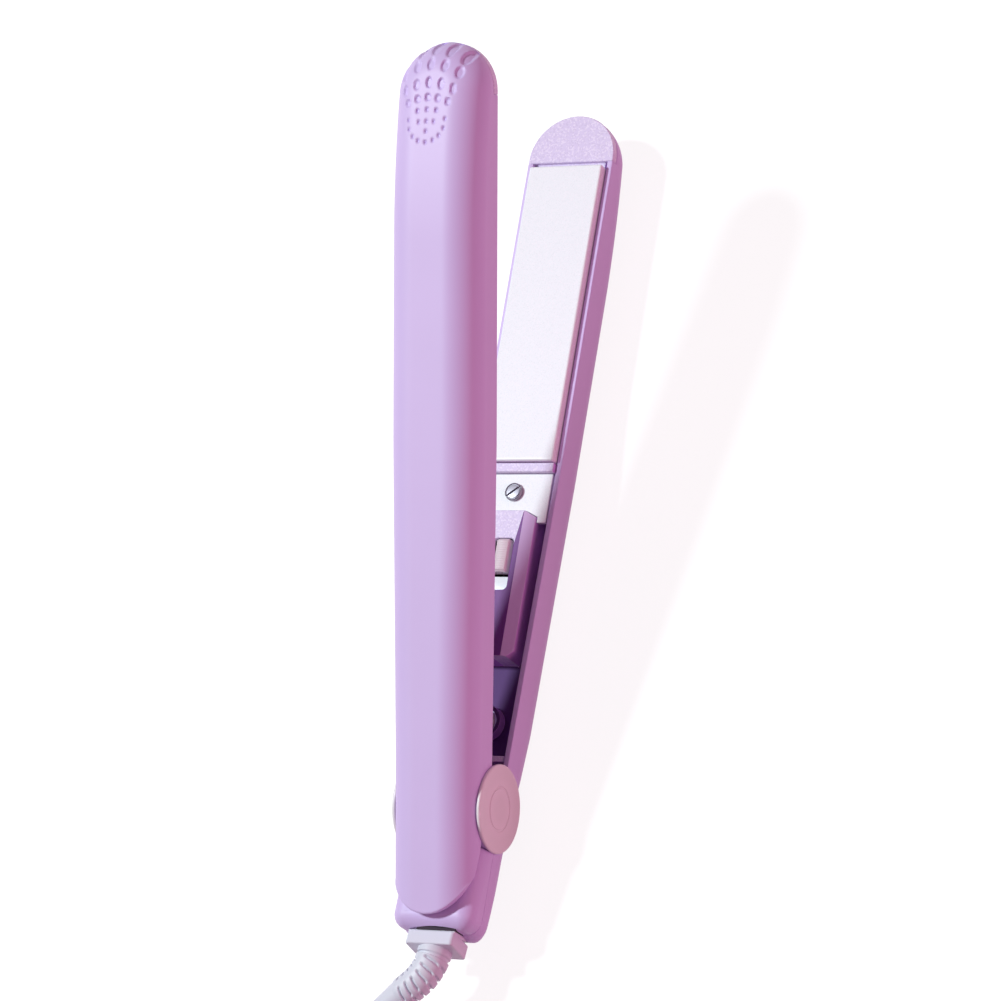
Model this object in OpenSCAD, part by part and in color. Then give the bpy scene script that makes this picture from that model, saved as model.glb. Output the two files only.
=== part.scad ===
// Small hair styling iron: two hinged arms with flat heating plates, a sprung hinge,
// a slide switch on the inside of the lower arm, and a mains lead folded into a tied hank.
// X is across the arms, +Y runs along the lower arm to its tip, and the lower arm lies on Z = 0.
// Both arms are drawn in an arm frame: hinge axis at the origin, tip at +Y, outer face at +Z.

/* [Arms] */
// Distance from the hinge axis to the tip of each arm
tip_reach = 168; // [160:1:180]
// Distance from the hinge axis to the rear wall of the handle
tail_reach = 28.2; // [27:0.2:31]
// Width of an arm over its heating plate
arm_w = 21.8; // [21.4:0.2:24]
// Width of an arm at the hinge
hinge_w = 20; // [19.6:0.2:20.8]
// Depth of the lower arm from its rim to its outer face
lower_depth = 13.2; // [12.8:0.1:15]
// Depth of the upper arm from its rim to its outer face
upper_depth = 12.8; // [12.4:0.1:15]
// Distance of each arm's rim from the hinge plane
rim_drop = 2; // [1.8:0.1:2.4]
// Thickness of the moulded walls
wall = 1.4; // [1.2:0.1:1.6]
// Radius of the long outer edges
edge_r = 7.2; // [6:0.2:8]
// Depth that the arms lose towards the tip
tip_thin = 4.4; // [3:0.2:5]
// Height of the rear cover above the rim
cover_h = 6; // [5.6:0.1:6.6]
// Angle between the arms when the spring holds them open
open_angle = 20; // [18:0.5:22]

/* [Hinge] */
// Radius of the round caps over the hinge
cap_r = 9.84; // [9.6:0.02:10.2]
// Thickness of the visible part of a cap
cap_t = 0.75; // [0.6:0.05:1.2]
// Radius of the hub that the upper arm turns on
hub_r = 4; // [3.5:0.1:4.4]
// Radius of the steel hinge pin
pin_r = 1.5; // [1.2:0.1:2]
// Running clearance round the hub
hub_play = 0.05; // [0.02:0.01:0.09]
// Half width over the two lugs inside the hinge
lug_out = 8.4; // [8.2:0.05:8.45]

/* [Plates] */
// Distance from the side of an arm to the side of its heating plate
plate_inset = 1.6; // [1.5:0.05:2]
// Length of the rounded pad at the tip of an arm
pad_l = 11.8; // [11.6:0.1:13]
// Distance from the hinge axis to the near end of a heating plate
plate_y = 81.8; // [81:0.1:84]
// Thickness of a heating plate's face
plate_t = 1.4; // [1.2:0.1:1.6]
// Distance from the ends of a heating plate to its heating element
heater_inset = 13.9; // [12.4:0.1:16]
// Thickness of the heating element
heater_t = 2; // [1.8:0.1:2.1]

/* [Switch] */
// Width of the raised switch housing
block_w = 13.2; // [12.8:0.2:14]
// Length of the raised switch housing
block_l = 34.5; // [33:0.5:36]
// Length of the slot that the knob slides in
slot_l = 12.2; // [12:0.1:13]
// Width of the slot that the knob slides in
slot_w = 5; // [4.6:0.1:5.6]
// Length of the switch knob
knob_l = 7.7; // [7:0.1:8]
// Gap round the knob in its slot
knob_gap = 0.3; // [0.2:0.05:0.4]

/* [Spring] */
// Distance from the hinge axis to the spring
spring_y = 22; // [20:0.5:24]
// Mean radius of the spring
spring_r = 2.4; // [2:0.1:2.5]
// Thickness of the spring wire
spring_wire = 0.7; // [0.5:0.1:0.8]
// Number of turns of the spring
spring_turns = 8; // [6:1:10]

/* [Lead] */
// Diameter of the mains lead
lead_d = 6; // [5.4:0.1:6]
// Distance between two turns of the hank
hank_pitch = 6.7; // [6.7:0.05:6.9]
// Half length of the straight part of the hank
hank_run = 27; // [22:1:30]
// Width of the collar where the lead enters
gland_w = 11.5; // [11:0.1:12]
// Height of the collar where the lead enters
gland_h = 8; // [7:0.1:8]
// Visible length of the collar where the lead enters
gland_l = 3.2; // [3:0.1:4]

/* [Hidden] */
$fn = 24;

lavender = [0.83, 0.76, 0.93];
lavender_inner = [0.86, 0.79, 0.95];
white_coat = [0.96, 0.96, 0.98];
white_plastic = [0.93, 0.91, 0.95];
cap_white = [0.92, 0.86, 0.9];
steel = [0.75, 0.76, 0.78];
black_resin = [0.14, 0.13, 0.15];
board_green = [0.1, 0.35, 0.22];
kapton = [0.72, 0.45, 0.16];

fine = 0.02;
seat_gap = 0.05;
part_gap = 0.15;
moving_gap = 0.3;

arm_half = arm_w / 2;
hinge_half = hinge_w / 2;
tip_c = tip_reach - arm_half;
narrow_from = 80;
narrow_to = 10;
thin_from = tip_reach - 43;
tail_from = 22;
tail_span = 58;
tail_drop = 8.3;
tail_r = 3.4;
tail_tilt = 10;
tail_edge = 3.8;
tail_r_from = 0;
tail_r_span = 22;

gland_back = tail_reach + 0.2 + gland_l;
pivot_y = (gland_back - tip_reach) / 2;
pivot_z = lower_depth + rim_drop;

ear_r = cap_r - 0.44;
bite_r = ear_r + moving_gap;
lug_t = 1.6;
lug_r = 5.5;
cap_in = hinge_half + 0.1;
cap_out = cap_in + cap_t;

pad_t = 2;
pad_y = tip_reach - pad_l;
groove_l = 1.6;
plate_w = arm_w - 2 * plate_inset;
plate_l = pad_y - groove_l - plate_y;
heater_l = plate_l - 2 * heater_inset;
heater_w = plate_w - 6.6;
window_w = heater_w + 0.6;
bar_l = 2.2;
bar_y = plate_y - 0.2 - bar_l;
bar_rise = 1;
web_z = 6.5;
web_t = 1;
frame_y = ear_r + 2.1;
rib_ys = [plate_y + 0.15 * plate_l, plate_y + 0.5 * plate_l, plate_y + 0.85 * plate_l];
block_nose = plate_y - 11.6;
block_y = block_nose - block_l;
block_rise = 1;
plateau_half = 3.9;
block_wall = 1.2;
slot_y = block_nose - 18.9;
retainer_z = 0.2;
retainer_t = 1.2;
retainer_y = block_nose - 2.6;
screw_y = plate_y - 7;
screw_r = 1.4;
boss_r = 3.9;
boss_z = 4;
knob_travel = slot_l - knob_l - 2 * knob_gap;

// ---------------------------------------------------------------- arm shapes

function clamp01(v) = min(max(v, 0), 1);
function smooth(v) = let (c = clamp01(v)) c * c * (3 - 2 * c);
function half_w(y) = arm_half - (arm_half - hinge_half)
    * clamp01((narrow_from - y) / (narrow_from - narrow_to));
function tip_loss(y) = y > thin_from
    ? tip_thin * pow((y - thin_from) / (tip_reach - thin_from), 2) : 0;
lower_depth_at = function (y) lower_depth - tip_loss(y)
    - tail_drop * smooth((tail_from - y) / tail_span);
upper_depth_at = function (y) upper_depth - tip_loss(y);
cover_depth_at = function (y) cover_h;
lower_edge_at = function (y) tail_edge + (edge_r - tail_edge)
    * smooth((y + tail_r_span - tail_r_from) / tail_r_span);
upper_edge_at = function (y) edge_r;
cover_edge_at = function (y) tail_edge + smooth((y + tail_reach) / tail_r_span);

// Stations of the right half outline, from the rear to the tip: [x, y, outward x, outward y].
// An outline that ends in a point has its last station on the centre line.
function side_stations(ys) = [for (y = ys) [half_w(y), y, 1, 0]];
tip_stations = [for (a = [0:11.25:90])
    [arm_half * cos(a), tip_c + arm_half * sin(a), cos(a), sin(a)]];
tail_stations = [for (a = [0:22.5:90])
    [hinge_half - tail_r * (1 - sin(a)), -tail_reach + tail_r * (1 - cos(a)), sin(a), -cos(a)]];
arm_ys = [6, narrow_to, 20, 32, 50, 65, narrow_from, 102,
    thin_from, thin_from + 10, thin_from + 20, thin_from + 27];
lower_stations = concat(tail_stations, side_stations(concat([-18, -12, -6, 0], arm_ys)),
    tip_stations);
tongue_end = 24;
upper_stations = concat(side_stations(concat([-tongue_end, -10, 0], arm_ys)), tip_stations);
cover_front = -4;
cover_stations = concat(tail_stations, side_stations([-18, -12, cover_front]));

// A closed moulded form over an outline: upright sides, rounded long edges, a lengthwise
// curved outer face. t insets it by a wall, foot is where its sides start, tilt leans its rear.
module skin(stations, depth, edge, base, foot, t = 0, tilt = 0) {
    n = len(stations);
    pointed = stations[n - 1][0] == 0 ? 1 : 0;
    m = 2 * n - pointed;
    turns = [for (a = [0:15:90]) a];
    function lean(s, z) = max(-s[3], 0) * (z - base) * tan(tilt);
    function ring_point(s, a) =
        let (r = edge(s[1]) - t, d = t + r * (1 - cos(a)), y = s[1] - s[3] * d,
            z = base + depth(y) - t - r * (1 - sin(a)))
        [s[0] - s[2] * d, y - lean(s, z), z];
    function foot_point(s) = [s[0] - s[2] * t, s[1] - s[3] * t - lean(s, foot), foot];
    function closed(pts) = concat(pts,
        [for (j = [n - 1 - pointed:-1:0]) [-pts[j][0], pts[j][1], pts[j][2]]]);
    function left(j) = j == n - 1 && pointed == 1 ? j : m - 1 - j;
    rings = concat([closed([for (s = stations) foot_point(s)])],
        [for (a = turns) closed([for (s = stations) ring_point(s, a)])]);
    last = len(rings) - 1;
    sides = [for (k = [0:last - 1], j = [0:m - 1]) let (i = (j + 1) % m)
        each [[k * m + j, (k + 1) * m + i, k * m + i], [k * m + j, (k + 1) * m + j, (k + 1) * m + i]]];
    top = [for (j = [0:n - 2]) let (b = last * m)
        each concat(left(j + 1) > j + 1 ? [[b + j, b + left(j + 1), b + j + 1]] : [],
            [[b + j, b + left(j), b + left(j + 1)]])];
    bottom = [for (f = top) [f[0] - last * m, f[2] - last * m, f[1] - last * m]];
    polyhedron([for (r = rings) each r], concat(sides, top, bottom), convexity = 6);
}

module lower_skin(t, foot)
    skin(lower_stations, lower_depth_at, lower_edge_at, rim_drop, foot, t, tail_tilt);
module upper_skin(t, foot) skin(upper_stations, upper_depth_at, upper_edge_at, rim_drop, foot, t);
module cover_skin(t, foot) skin(cover_stations, cover_depth_at, cover_edge_at, 0, foot, t);

// Places for what is drawn in the arm frame.
module on_lower_arm() translate([0, pivot_y, pivot_z]) mirror([0, 0, 1]) children();
module on_upper_arm() translate([0, pivot_y, pivot_z]) rotate([open_angle, 0, 0]) children();
module on_rim() translate([0, pivot_y, lower_depth]) children();
// d is a depth below an arm's rim.
function deep(d) = rim_drop + d;
through = deep(lower_depth);

module along_x(length) rotate([90, 0, 90]) linear_extrude(length, center = true) children();
module along_y(y0, y1) translate([0, y1, 0]) rotate([90, 0, 0]) linear_extrude(y1 - y0) children();
module box(x, y0, y1, z0, z1) translate([-x, y0, z0]) cube([2 * x, y1 - y0, z1 - z0]);
module round_rect(w, h, r) {
    square([w - 2 * r, h], center = true);
    square([w, h - 2 * r], center = true);
    for (sx = [-1, 1], sy = [-1, 1]) translate([sx * (w / 2 - r), sy * (h / 2 - r)]) circle(r);
}
module hinge_rod(r, x0, x1) translate([x0, 0, 0]) rotate([0, 90, 0])
    cylinder(r = r, h = x1 - x0, $fn = 48);
// The same on the right for side 1 and mirrored on the left for side -1.
module side_rod(side, r, x0, x1) hinge_rod(r, side > 0 ? x0 : -x1, side > 0 ? x1 : -x0);

// Plan of what lies inside an arm's wall, gap in from it, between two distances from the hinge.
module inner_plan(gap, y0, y1) {
    function inside(y) = half_w(y) - wall - gap;
    ys = [for (y = [y0, narrow_from, min(y1, tip_c)]) if (y >= y0 && y <= y1) y];
    polygon(concat([for (y = ys) [inside(y), y]],
        [for (i = [len(ys) - 1:-1:0]) [-inside(ys[i]), ys[i]]]));
}
module tip_plan(gap) intersection() {
    union() {
        translate([0, tip_c]) circle(arm_half - gap, $fn = 64);
        translate([-arm_half + gap, tip_c - 10]) square([arm_w - 2 * gap, 10]);
    }
    translate([-arm_half, pad_y]) square([arm_w, arm_w]);
}

// ---------------------------------------------------------------- outer mouldings

module tip_pad_seat() box(arm_w, pad_y - 0.05, tip_reach + 5, 0, deep(pad_t + fine));

module gland_hole() translate([0, -tail_reach, 0]) rotate([90, 0, 0])
    linear_extrude(8, center = true) round_rect(gland_w - 2.5, gland_neck_h + 0.2, 0.8);

module lower_outer_shell() color(lavender) on_lower_arm() difference() {
    union() {
        difference() {
            lower_skin(0, rim_drop);
            lower_skin(wall, rim_drop - 1);
        }
        intersection() {
            lower_skin(wall - 0.2, -lug_r - 1);
            union() {
                for (s = [-1, 1]) {
                    side_rod(s, lug_r, lug_out - lug_t, lug_out);
                    translate([s * (lug_out - lug_t / 2) - lug_t / 2, -lug_r, 0])
                        cube([lug_t, 2 * lug_r, deep(lower_depth)]);
                }
                for (y = rib_ys) box(arm_half, y, y + wall, deep(web_z + web_t + seat_gap), 20);
                translate([0, screw_y, deep(web_z + web_t + seat_gap)]) cylinder(r = 2.8, h = 9);
            }
        }
    }
    for (s = [-1, 1]) side_rod(s, bite_r, lug_out + fine, arm_w);
    hinge_rod(pin_r + fine, -arm_w, arm_w);
    tip_pad_seat();
    translate([0, 0, rim_drop]) gland_hole();
    translate([0, screw_y, deep(web_z)]) cylinder(r = screw_r + fine, h = 4.8);
}

// Edge of the tongue and rim: parallel to the rear cover's top when the arms stand open.
tongue_lift = (cover_h - rim_drop + moving_gap) / cos(open_angle);
module upper_side_profile() polygon([
    [-40, tongue_lift + 40 * tan(open_angle)],
    [(tongue_lift - rim_drop) / tan(open_angle), rim_drop],
    [tip_reach + 5, rim_drop], [tip_reach + 5, 40], [-40, 40]
]);
tongue_reach = 22.35;
tongue_curve = 14.9;
module tongue_plan(inset) {
    wide = arm_half - inset;
    long = tongue_curve - inset;
    start = tongue_curve - tongue_reach;
    polygon(concat([[wide, tip_reach + 5]],
        [for (a = [0:10:180]) [wide * cos(a), start - long * sin(a)]], [[-wide, tip_reach + 5]]));
}

module upper_outer_shell() color(lavender) on_upper_arm() difference() {
    union() {
        intersection() {
            difference() {
                upper_skin(0, -1);
                intersection() {
                    upper_skin(wall, -2);
                    translate([0, 0, -3]) linear_extrude(40) tongue_plan(wall);
                }
            }
            along_x(2 * arm_w) upper_side_profile();
            translate([0, 0, -3]) linear_extrude(40) tongue_plan(0);
        }
        for (s = [-1, 1]) side_rod(s, ear_r, hinge_half - wall, hinge_half);
        intersection() {
            upper_skin(wall - 0.2, rim_drop);
            union() {
                for (y = rib_ys) box(arm_half, y, y + wall, deep(web_z + web_t + seat_gap), 20);
                translate([0, screw_y, deep(web_z + web_t + seat_gap)]) cylinder(r = 2.8, h = 9);
                for (y = frame_screw_ys) translate([0, y, deep(panel_z + panel_t + seat_gap)])
                    cylinder(r = 2.6, h = upper_depth);
            }
        }
    }
    for (s = [-1, 1]) side_rod(s, hub_r + hub_play, hinge_half - wall - 0.6, arm_w);
    tip_pad_seat();
    translate([0, screw_y, deep(web_z)]) cylinder(r = screw_r + fine, h = 4.8);
    for (y = frame_screw_ys) translate([0, y, deep(panel_z)]) cylinder(r = 1.1 + fine, h = 7);
}

cover_screw_y = -17;
cover_screw_x = 4.6;
module rear_cover() color(lavender) on_rim() difference() {
    cover_skin(0, 0);
    difference() {
        cover_skin(wall, -1);
        translate([0, 0, rim_drop]) hinge_rod(bite_r + wall, -arm_w, arm_w);
        for (s = [-1, 1]) translate([s * cover_screw_x, cover_screw_y, 0]) cylinder(r = 2.2, h = cover_h);
    }
    translate([0, 0, rim_drop]) hinge_rod(bite_r, -arm_w, arm_w);
    gland_hole();
    for (s = [-1, 1]) translate([s * cover_screw_x, cover_screw_y, 0]) {
        translate([0, 0, -1]) cylinder(r = 1.1 + fine, h = cover_h + 2);
        translate([0, 0, cover_h - 1.4]) cylinder(r = 1.9, h = 3);
    }
}

module rear_cover_screws() color(steel) on_rim() for (s = [-1, 1])
    translate([s * cover_screw_x, cover_screw_y, 0]) difference() {
        union() {
            translate([0, 0, cover_h - 1.4]) cylinder(r = 1.8, h = 1.1);
            cylinder(r = 1.1, h = cover_h - 1.3);
        }
        translate([0, 0, cover_h - 0.5]) for (a = [0, 90]) rotate(a) cube([2.4, 0.5, 1], center = true);
    }

// ---------------------------------------------------------------- hinge

module cap_profile() polygon([
    [pin_r + fine, lug_out + seat_gap], [hub_r, lug_out + seat_gap], [hub_r, cap_in],
    [cap_r, cap_in], [cap_r, cap_out - 0.35], [cap_r - 0.4, cap_out],
    [5, cap_out], [4.75, cap_out - 0.2], [4.5, cap_out],
    [0, cap_out], [0, cap_in - 0.3], [pin_r + fine, cap_in - 0.3]
]);
module hinge_cap(side) color(cap_white) translate([0, pivot_y, pivot_z])
    rotate([0, 90 * side, 0]) rotate_extrude($fn = 64) cap_profile();
module hinge_cap_left() hinge_cap(-1);
module hinge_cap_right() hinge_cap(1);
module hinge_pin() color(steel) translate([0, pivot_y, pivot_z])
    hinge_rod(pin_r, -cap_in + 0.35, cap_in - 0.35);

// ---------------------------------------------------------------- inner mouldings

module screw(head_r, head_h, r, length) {
    difference() {
        translate([0, 0, -head_h]) cylinder(r = head_r, h = head_h + fine);
        translate([0, 0, -head_h]) cube([2 * head_r + 1, 0.7, 1], center = true);
    }
    cylinder(r = r, h = length);
}

// What both arms' frames share: pad at the tip, wall and bar at the plate's ends, web under it.
module frame_ends() {
    translate([0, 0, rim_drop]) linear_extrude(pad_t) tip_plan(0.05);
    translate([0, 0, deep(pad_t)]) linear_extrude(2) tip_plan(wall + 0.6);
    box(arm_half - wall - 0.8, plate_y + plate_l + 0.2, pad_y + 0.6, deep(1), deep(web_z - 1.5));
    box(arm_half - wall - 2.2, plate_y + plate_l + 0.2, pad_y, deep(1), deep(web_z + web_t));
    box(half_w(bar_y) - wall - part_gap, bar_y, bar_y + bar_l, deep(-bar_rise), deep(web_z));
    difference() {
        translate([0, 0, deep(web_z)]) linear_extrude(web_t) inner_plan(1.8, bar_y, plate_y + plate_l + 0.4);
        for (k = [0, 1]) let (l = (plate_l - 9) / 2, y = plate_y + 3 + k * (l + 3))
            box(window_w / 2, y, y + l, 0, deep(web_z + web_t + 1));
    }
}

module block_section(inset) polygon([
    [-block_w / 2 + inset, deep(web_z + web_t + inset)], [-block_w / 2 + inset, deep(inset * 0.8)],
    [-plateau_half + inset / 4, deep(inset - block_rise)],
    [plateau_half - inset / 4, deep(inset - block_rise)],
    [block_w / 2 - inset, deep(inset * 0.8)], [block_w / 2 - inset, deep(web_z + web_t + inset)]
]);
module block_plan() {
    nose = block_nose;
    polygon([[-block_w / 2, block_y + 1.5], [-block_w / 2 + 1.5, block_y], [block_w / 2 - 1.5, block_y],
        [block_w / 2, block_y + 1.5], [block_w / 2, nose - 1.3], [plateau_half, nose],
        [-plateau_half, nose], [-block_w / 2, nose - 1.3]]);
}
module slot_plan(w, l) translate([0, l / 2]) round_rect(w, l, 1);

module lower_inner_frame() color(lavender_inner) on_lower_arm() difference() {
    union() {
        frame_ends();
        translate([0, 0, deep(web_z)]) linear_extrude(web_t) inner_plan(1.2, frame_y, bar_y + 1);
        box(half_w(frame_y) - wall - part_gap, frame_y, frame_y + wall, deep(0.3), deep(web_z));
        intersection() {
            along_y(block_y, block_nose) block_section(0);
            linear_extrude(20) block_plan();
        }
        box(half_w(bar_y) - wall - 0.6, block_nose - 0.1, bar_y + 0.1,
            deep(retainer_z + retainer_t + seat_gap), deep(web_z));
        translate([0, spring_y, deep(boss_z)]) cylinder(r = boss_r, h = web_z - boss_z);
    }
    along_y(block_y + block_wall, block_nose - block_wall) block_section(block_wall);
    translate([0, slot_y, 0]) linear_extrude(deep(1)) slot_plan(slot_w, slot_l);
    translate([0, screw_y, 0]) cylinder(r = screw_r + 0.2, h = through);
    translate([0, spring_y, 0]) cylinder(r = spring_r + spring_wire / 2 + 0.2, h = deep(web_z));
}

panel_z = 3;
panel_t = 1.2;
frame_screw_gap = 22;
frame_screw_ys = [plate_y - 43.8, plate_y - 43.8 + frame_screw_gap];
spigot_y = spring_y + 2.6;
module upper_inner_frame() color(lavender_inner) on_upper_arm() difference() {
    union() {
        frame_ends();
        translate([0, 0, deep(panel_z)]) linear_extrude(panel_t) inner_plan(0.2, frame_y, bar_y + 1);
        box(half_w(frame_y) - wall - part_gap, frame_y, frame_y + wall, deep(0.3), deep(panel_z));
        box(half_w(bar_y) - wall - 0.6, retainer_y + 2.4, bar_y + 0.1,
            deep(retainer_z + retainer_t + seat_gap), deep(web_z));
        translate([0, spigot_y, deep(panel_z - 1.6)]) cylinder(r = 1.1, h = 1.7);
    }
    translate([0, screw_y, 0]) cylinder(r = screw_r + 0.2, h = through);
    for (y = frame_screw_ys) translate([0, y, 0]) cylinder(r = 1.3, h = through);
}

module upper_frame_screws() color(steel) on_upper_arm() for (y = frame_screw_ys)
    translate([0, y, deep(panel_z - seat_gap)]) screw(2.1, 0.9, 1.1, 6.4);

module plate_section() {
    half = plate_w / 2;
    polygon([
        [-half, deep(2.15)], [-half, 0.5], [-half + 0.15, 0.15], [-half + 0.5, 0],
        [half - 0.5, 0], [half - 0.15, 0.15], [half, 0.5], [half, deep(2.15)],
        [half - 1.1, deep(2.15)], [half - 1.1, plate_t], [-half + 1.1, plate_t], [-half + 1.1, deep(2.15)]
    ]);
}
module heating_plate() color(white_coat) along_y(plate_y, plate_y + plate_l) plate_section();
module lower_heating_plate() on_lower_arm() translate([0, 0, fine]) heating_plate();
module upper_heating_plate() on_upper_arm() translate([0, 0, fine]) heating_plate();

heater_y = plate_y + (plate_l - heater_l) / 2;
heater_z = plate_t + 2 * fine;
module heater_element() color(kapton)
    box(heater_w / 2, heater_y, heater_y + heater_l, heater_z, heater_z + heater_t);
module lower_heater_element() on_lower_arm() heater_element();
module upper_heater_element() on_upper_arm() heater_element();

// A bowed spring strip that presses the heating element to its plate.
carrier_top = deep(2.2);
module clamp_section() {
    low = heater_z + heater_t + fine;
    lift = carrier_top - low - 0.45;
    function bow(v) = low + lift * (1 - cos(v)) / 2;
    steps = [0:30:720];
    polygon(concat([for (v = steps) [heater_y + 2 + v / 720 * (heater_l - 4), bow(v)]],
        [for (i = [720:-30:0]) [heater_y + 2 + i / 720 * (heater_l - 4), bow(i) + 0.4]]));
}
module heater_clamp() color(steel) along_x(heater_w + 0.4) clamp_section();
module lower_heater_clamp() on_lower_arm() heater_clamp();
module upper_heater_clamp() on_upper_arm() heater_clamp();

module plate_carrier() color(black_resin) translate([0, 0, carrier_top])
    linear_extrude(deep(web_z) - carrier_top - seat_gap) difference() {
        translate([-plate_w / 2 + 0.8, plate_y + 0.2]) square([plate_w - 1.6, plate_l - 0.4]);
        for (k = [0:2]) let (l = (plate_l - 12.8) / 3)
            translate([-window_w / 2, plate_y + 2.9 + k * (l + 3.5)]) square([window_w, l]);
    }
module lower_plate_carrier() on_lower_arm() plate_carrier();
module upper_plate_carrier() on_upper_arm() plate_carrier();

module retainer_plate(nose) color(white_coat) translate([0, 0, deep(retainer_z)]) linear_extrude(retainer_t)
    difference() {
        half = half_w(retainer_y) - wall - 0.35;
        translate([-half, retainer_y]) square([2 * half, bar_y - part_gap - retainer_y]);
        if (nose) offset(delta = 0.15) block_plan();
        translate([0, screw_y]) circle(screw_r + 0.2);
    }
module lower_plate_retainer() on_lower_arm() retainer_plate(true);
module upper_plate_retainer() on_upper_arm() retainer_plate(false);
module retainer_screw() color(steel) translate([0, screw_y, deep(retainer_z - fine)])
    screw(2.1, 1, screw_r, 10.6);
module lower_retainer_screw() on_lower_arm() retainer_screw();
module upper_retainer_screw() on_upper_arm() retainer_screw();

// ---------------------------------------------------------------- switch and electrics

board_z = web_z + web_t + seat_gap;
board_t = 1.2;
module circuit_board() color(board_green) on_lower_arm() {
    box(block_w / 2 - 0.4, block_y + 0.6, block_nose - 2, deep(board_z), deep(board_z + board_t));
    translate([-block_w / 4, block_y + 0.2 * block_l, deep(board_z + board_t)]) cylinder(r = 2, h = 1.7);
    box(1.8, block_y + 0.6 * block_l, block_y + 0.8 * block_l,
        deep(board_z + board_t), deep(board_z + board_t + 1.4));
}

body_top = 2.1;
stem_l = 2;
module switch_body() color(black_resin) on_lower_arm() difference() {
    box(3.2, slot_y - 2, slot_y + slot_l + 2, deep(body_top), deep(board_z - seat_gap));
    box(1.5, slot_y + 0.4, slot_y + slot_l - 0.4, 0, deep(body_top + 2));
}

knob_y = slot_y + slot_l - knob_gap - knob_l;
module switch_slider() color(white_plastic) on_lower_arm() {
    translate([0, knob_y, deep(-block_rise - 0.6)]) linear_extrude(2)
        slot_plan(slot_w - 2 * knob_gap, knob_l);
    box(3.1, slot_y - 0.8, knob_y + knob_l + 5, deep(0.35), deep(1.2));
    box(1.2, knob_y + knob_l / 2 - stem_l / 2, knob_y + knob_l / 2 + stem_l / 2,
        deep(1.1), deep(body_top + 1.4));
}

module thermal_fuse() color(steel) on_lower_arm()
    translate([0, plate_y + 2.4, plate_t + 1.25 + fine]) rotate([-90, 0, 0]) cylinder(r = 1.25, h = 9);

// ---------------------------------------------------------------- tubes

function unit(v) = v / norm(v);
function heading(pts, i) = unit(pts[min(i + 1, len(pts) - 1)] - pts[max(i - 1, 0)]);
function side_of(h) = norm([h[0], h[1]]) > 0.01 ? unit([h[1], -h[0], 0]) : [1, 0, 0];
// One tube along points, with a radius at each and flat ends square to ends[0] and ends[1].
module tube(pts, radii, sides, ends) {
    n = len(pts);
    function dir(i) = i == 0 ? ends[0] : i == n - 1 ? ends[1] : heading(pts, i);
    function ring(i) = let (h = dir(i), u = side_of(h), w = cross(u, h))
        [for (k = [0:sides - 1]) let (a = 90 + k * 360 / sides)
            pts[i] + radii[i] * (cos(a) * u + sin(a) * w)];
    walls = [for (i = [0:n - 2], k = [0:sides - 1]) let (j = (k + 1) % sides)
        each [[i * sides + k, i * sides + j, (i + 1) * sides + j],
            [i * sides + k, (i + 1) * sides + j, (i + 1) * sides + k]]];
    polyhedron([for (i = [0:n - 1]) each ring(i)], concat(walls,
        [[for (k = [sides - 1:-1:0]) k]], [[for (k = [0:sides - 1]) (n - 1) * sides + k]]), convexity = 8);
}
function same(v, n) = [for (i = [1:n]) v];

// Insulated wires inside the arms, in the arm frame with depths below the rim.
wire_r = 0.8;
wire_x = 4.4;
wire_z = web_z + web_t + wire_r + 0.4;
module wire(route) {
    n = len(route);
    pts = [for (p = route) [p[0], p[1], deep(p[2])]];
    tube(pts, same(wire_r, n), 8, [unit([0, pts[1][1] - pts[0][1], 0]), [0, 1, 0]]);
}
module heater_wires(first) for (s = [-1, 1]) wire(concat([for (p = first) [s * p[0], p[1], p[2]]], [
    [s * wire_x, plate_y + 3.2, wire_z], [s * 3.6, plate_y + 7.2, 6.2], [s * 2.8, plate_y + 9.8, 3.2],
    [s * 2.6, heater_y - seat_gap, 0.7]
]));
module lower_leads() color("ivory") on_lower_arm() {
    for (s = [-1, 1]) wire([[s * 1.3, 0.15 - gland_in, -0.2], [s * 1.3, -20, 1.4], [s * 1.3, -10, 4.6],
        [s * 1.3, 0, 7], [s * 1.3, frame_y, wire_z - 0.2], [s * 1.3, spring_y + 2, wire_z - 0.1],
        [s * 1.3, block_y + 0.5, wire_z - 0.1]]);
    heater_wires([[wire_x, block_nose - 1.9, wire_z - 0.2], [wire_x, screw_y + 1.2, wire_z]]);
}
module upper_leads() color("ivory") on_upper_arm()
    heater_wires([[wire_x, frame_y + 2.5, wire_z - 2.2], [wire_x, retainer_y - 7, wire_z - 1.4],
        [wire_x, screw_y - 0.8, wire_z]]);

// ---------------------------------------------------------------- spring

spring_low = pivot_z - deep(web_z) + spring_wire / 2 + fine;
spring_lean = (spring_y - spring_r - spring_wire) * sin(open_angle);
spring_high = pivot_z + deep(panel_z) + spring_lean - 0.65;
spring_step = 45;
spring_pts = [for (a = [0:spring_step:spring_turns * 360])
    let (t = a / (spring_turns * 360))
    [spring_r * cos(a), pivot_y + spring_y + spring_r * sin(a), spring_low + (spring_high - spring_low) * t]];
module return_spring() color(steel) tube(spring_pts, same(spring_wire / 2, len(spring_pts)), 6,
    [heading(spring_pts, 0), heading(spring_pts, len(spring_pts) - 1)]);

// ---------------------------------------------------------------- lead

// The collar leans with the lower arm's rear face, about its upper front edge.
gland_in = tail_reach - 3;
gland_neck_h = 5.2;
gland_front = -tail_reach - 0.2;
module cord_gland() color(white_plastic) on_rim() {
    translate([0, gland_front, gland_h / 2]) rotate([-tail_tilt, 0, 0]) translate([0, 0, -gland_h / 2])
        along_y(-gland_l, 0) round_rect(gland_w, gland_h, 0.8);
    along_y(gland_front - gland_l / 2, -tail_reach + wall + 0.2) round_rect(gland_w - 2.7, gland_neck_h, 0.7);
    along_y(-tail_reach + wall + 0.1, -gland_in) round_rect(gland_w - 1.4, gland_neck_h, 0.7);
}

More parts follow.
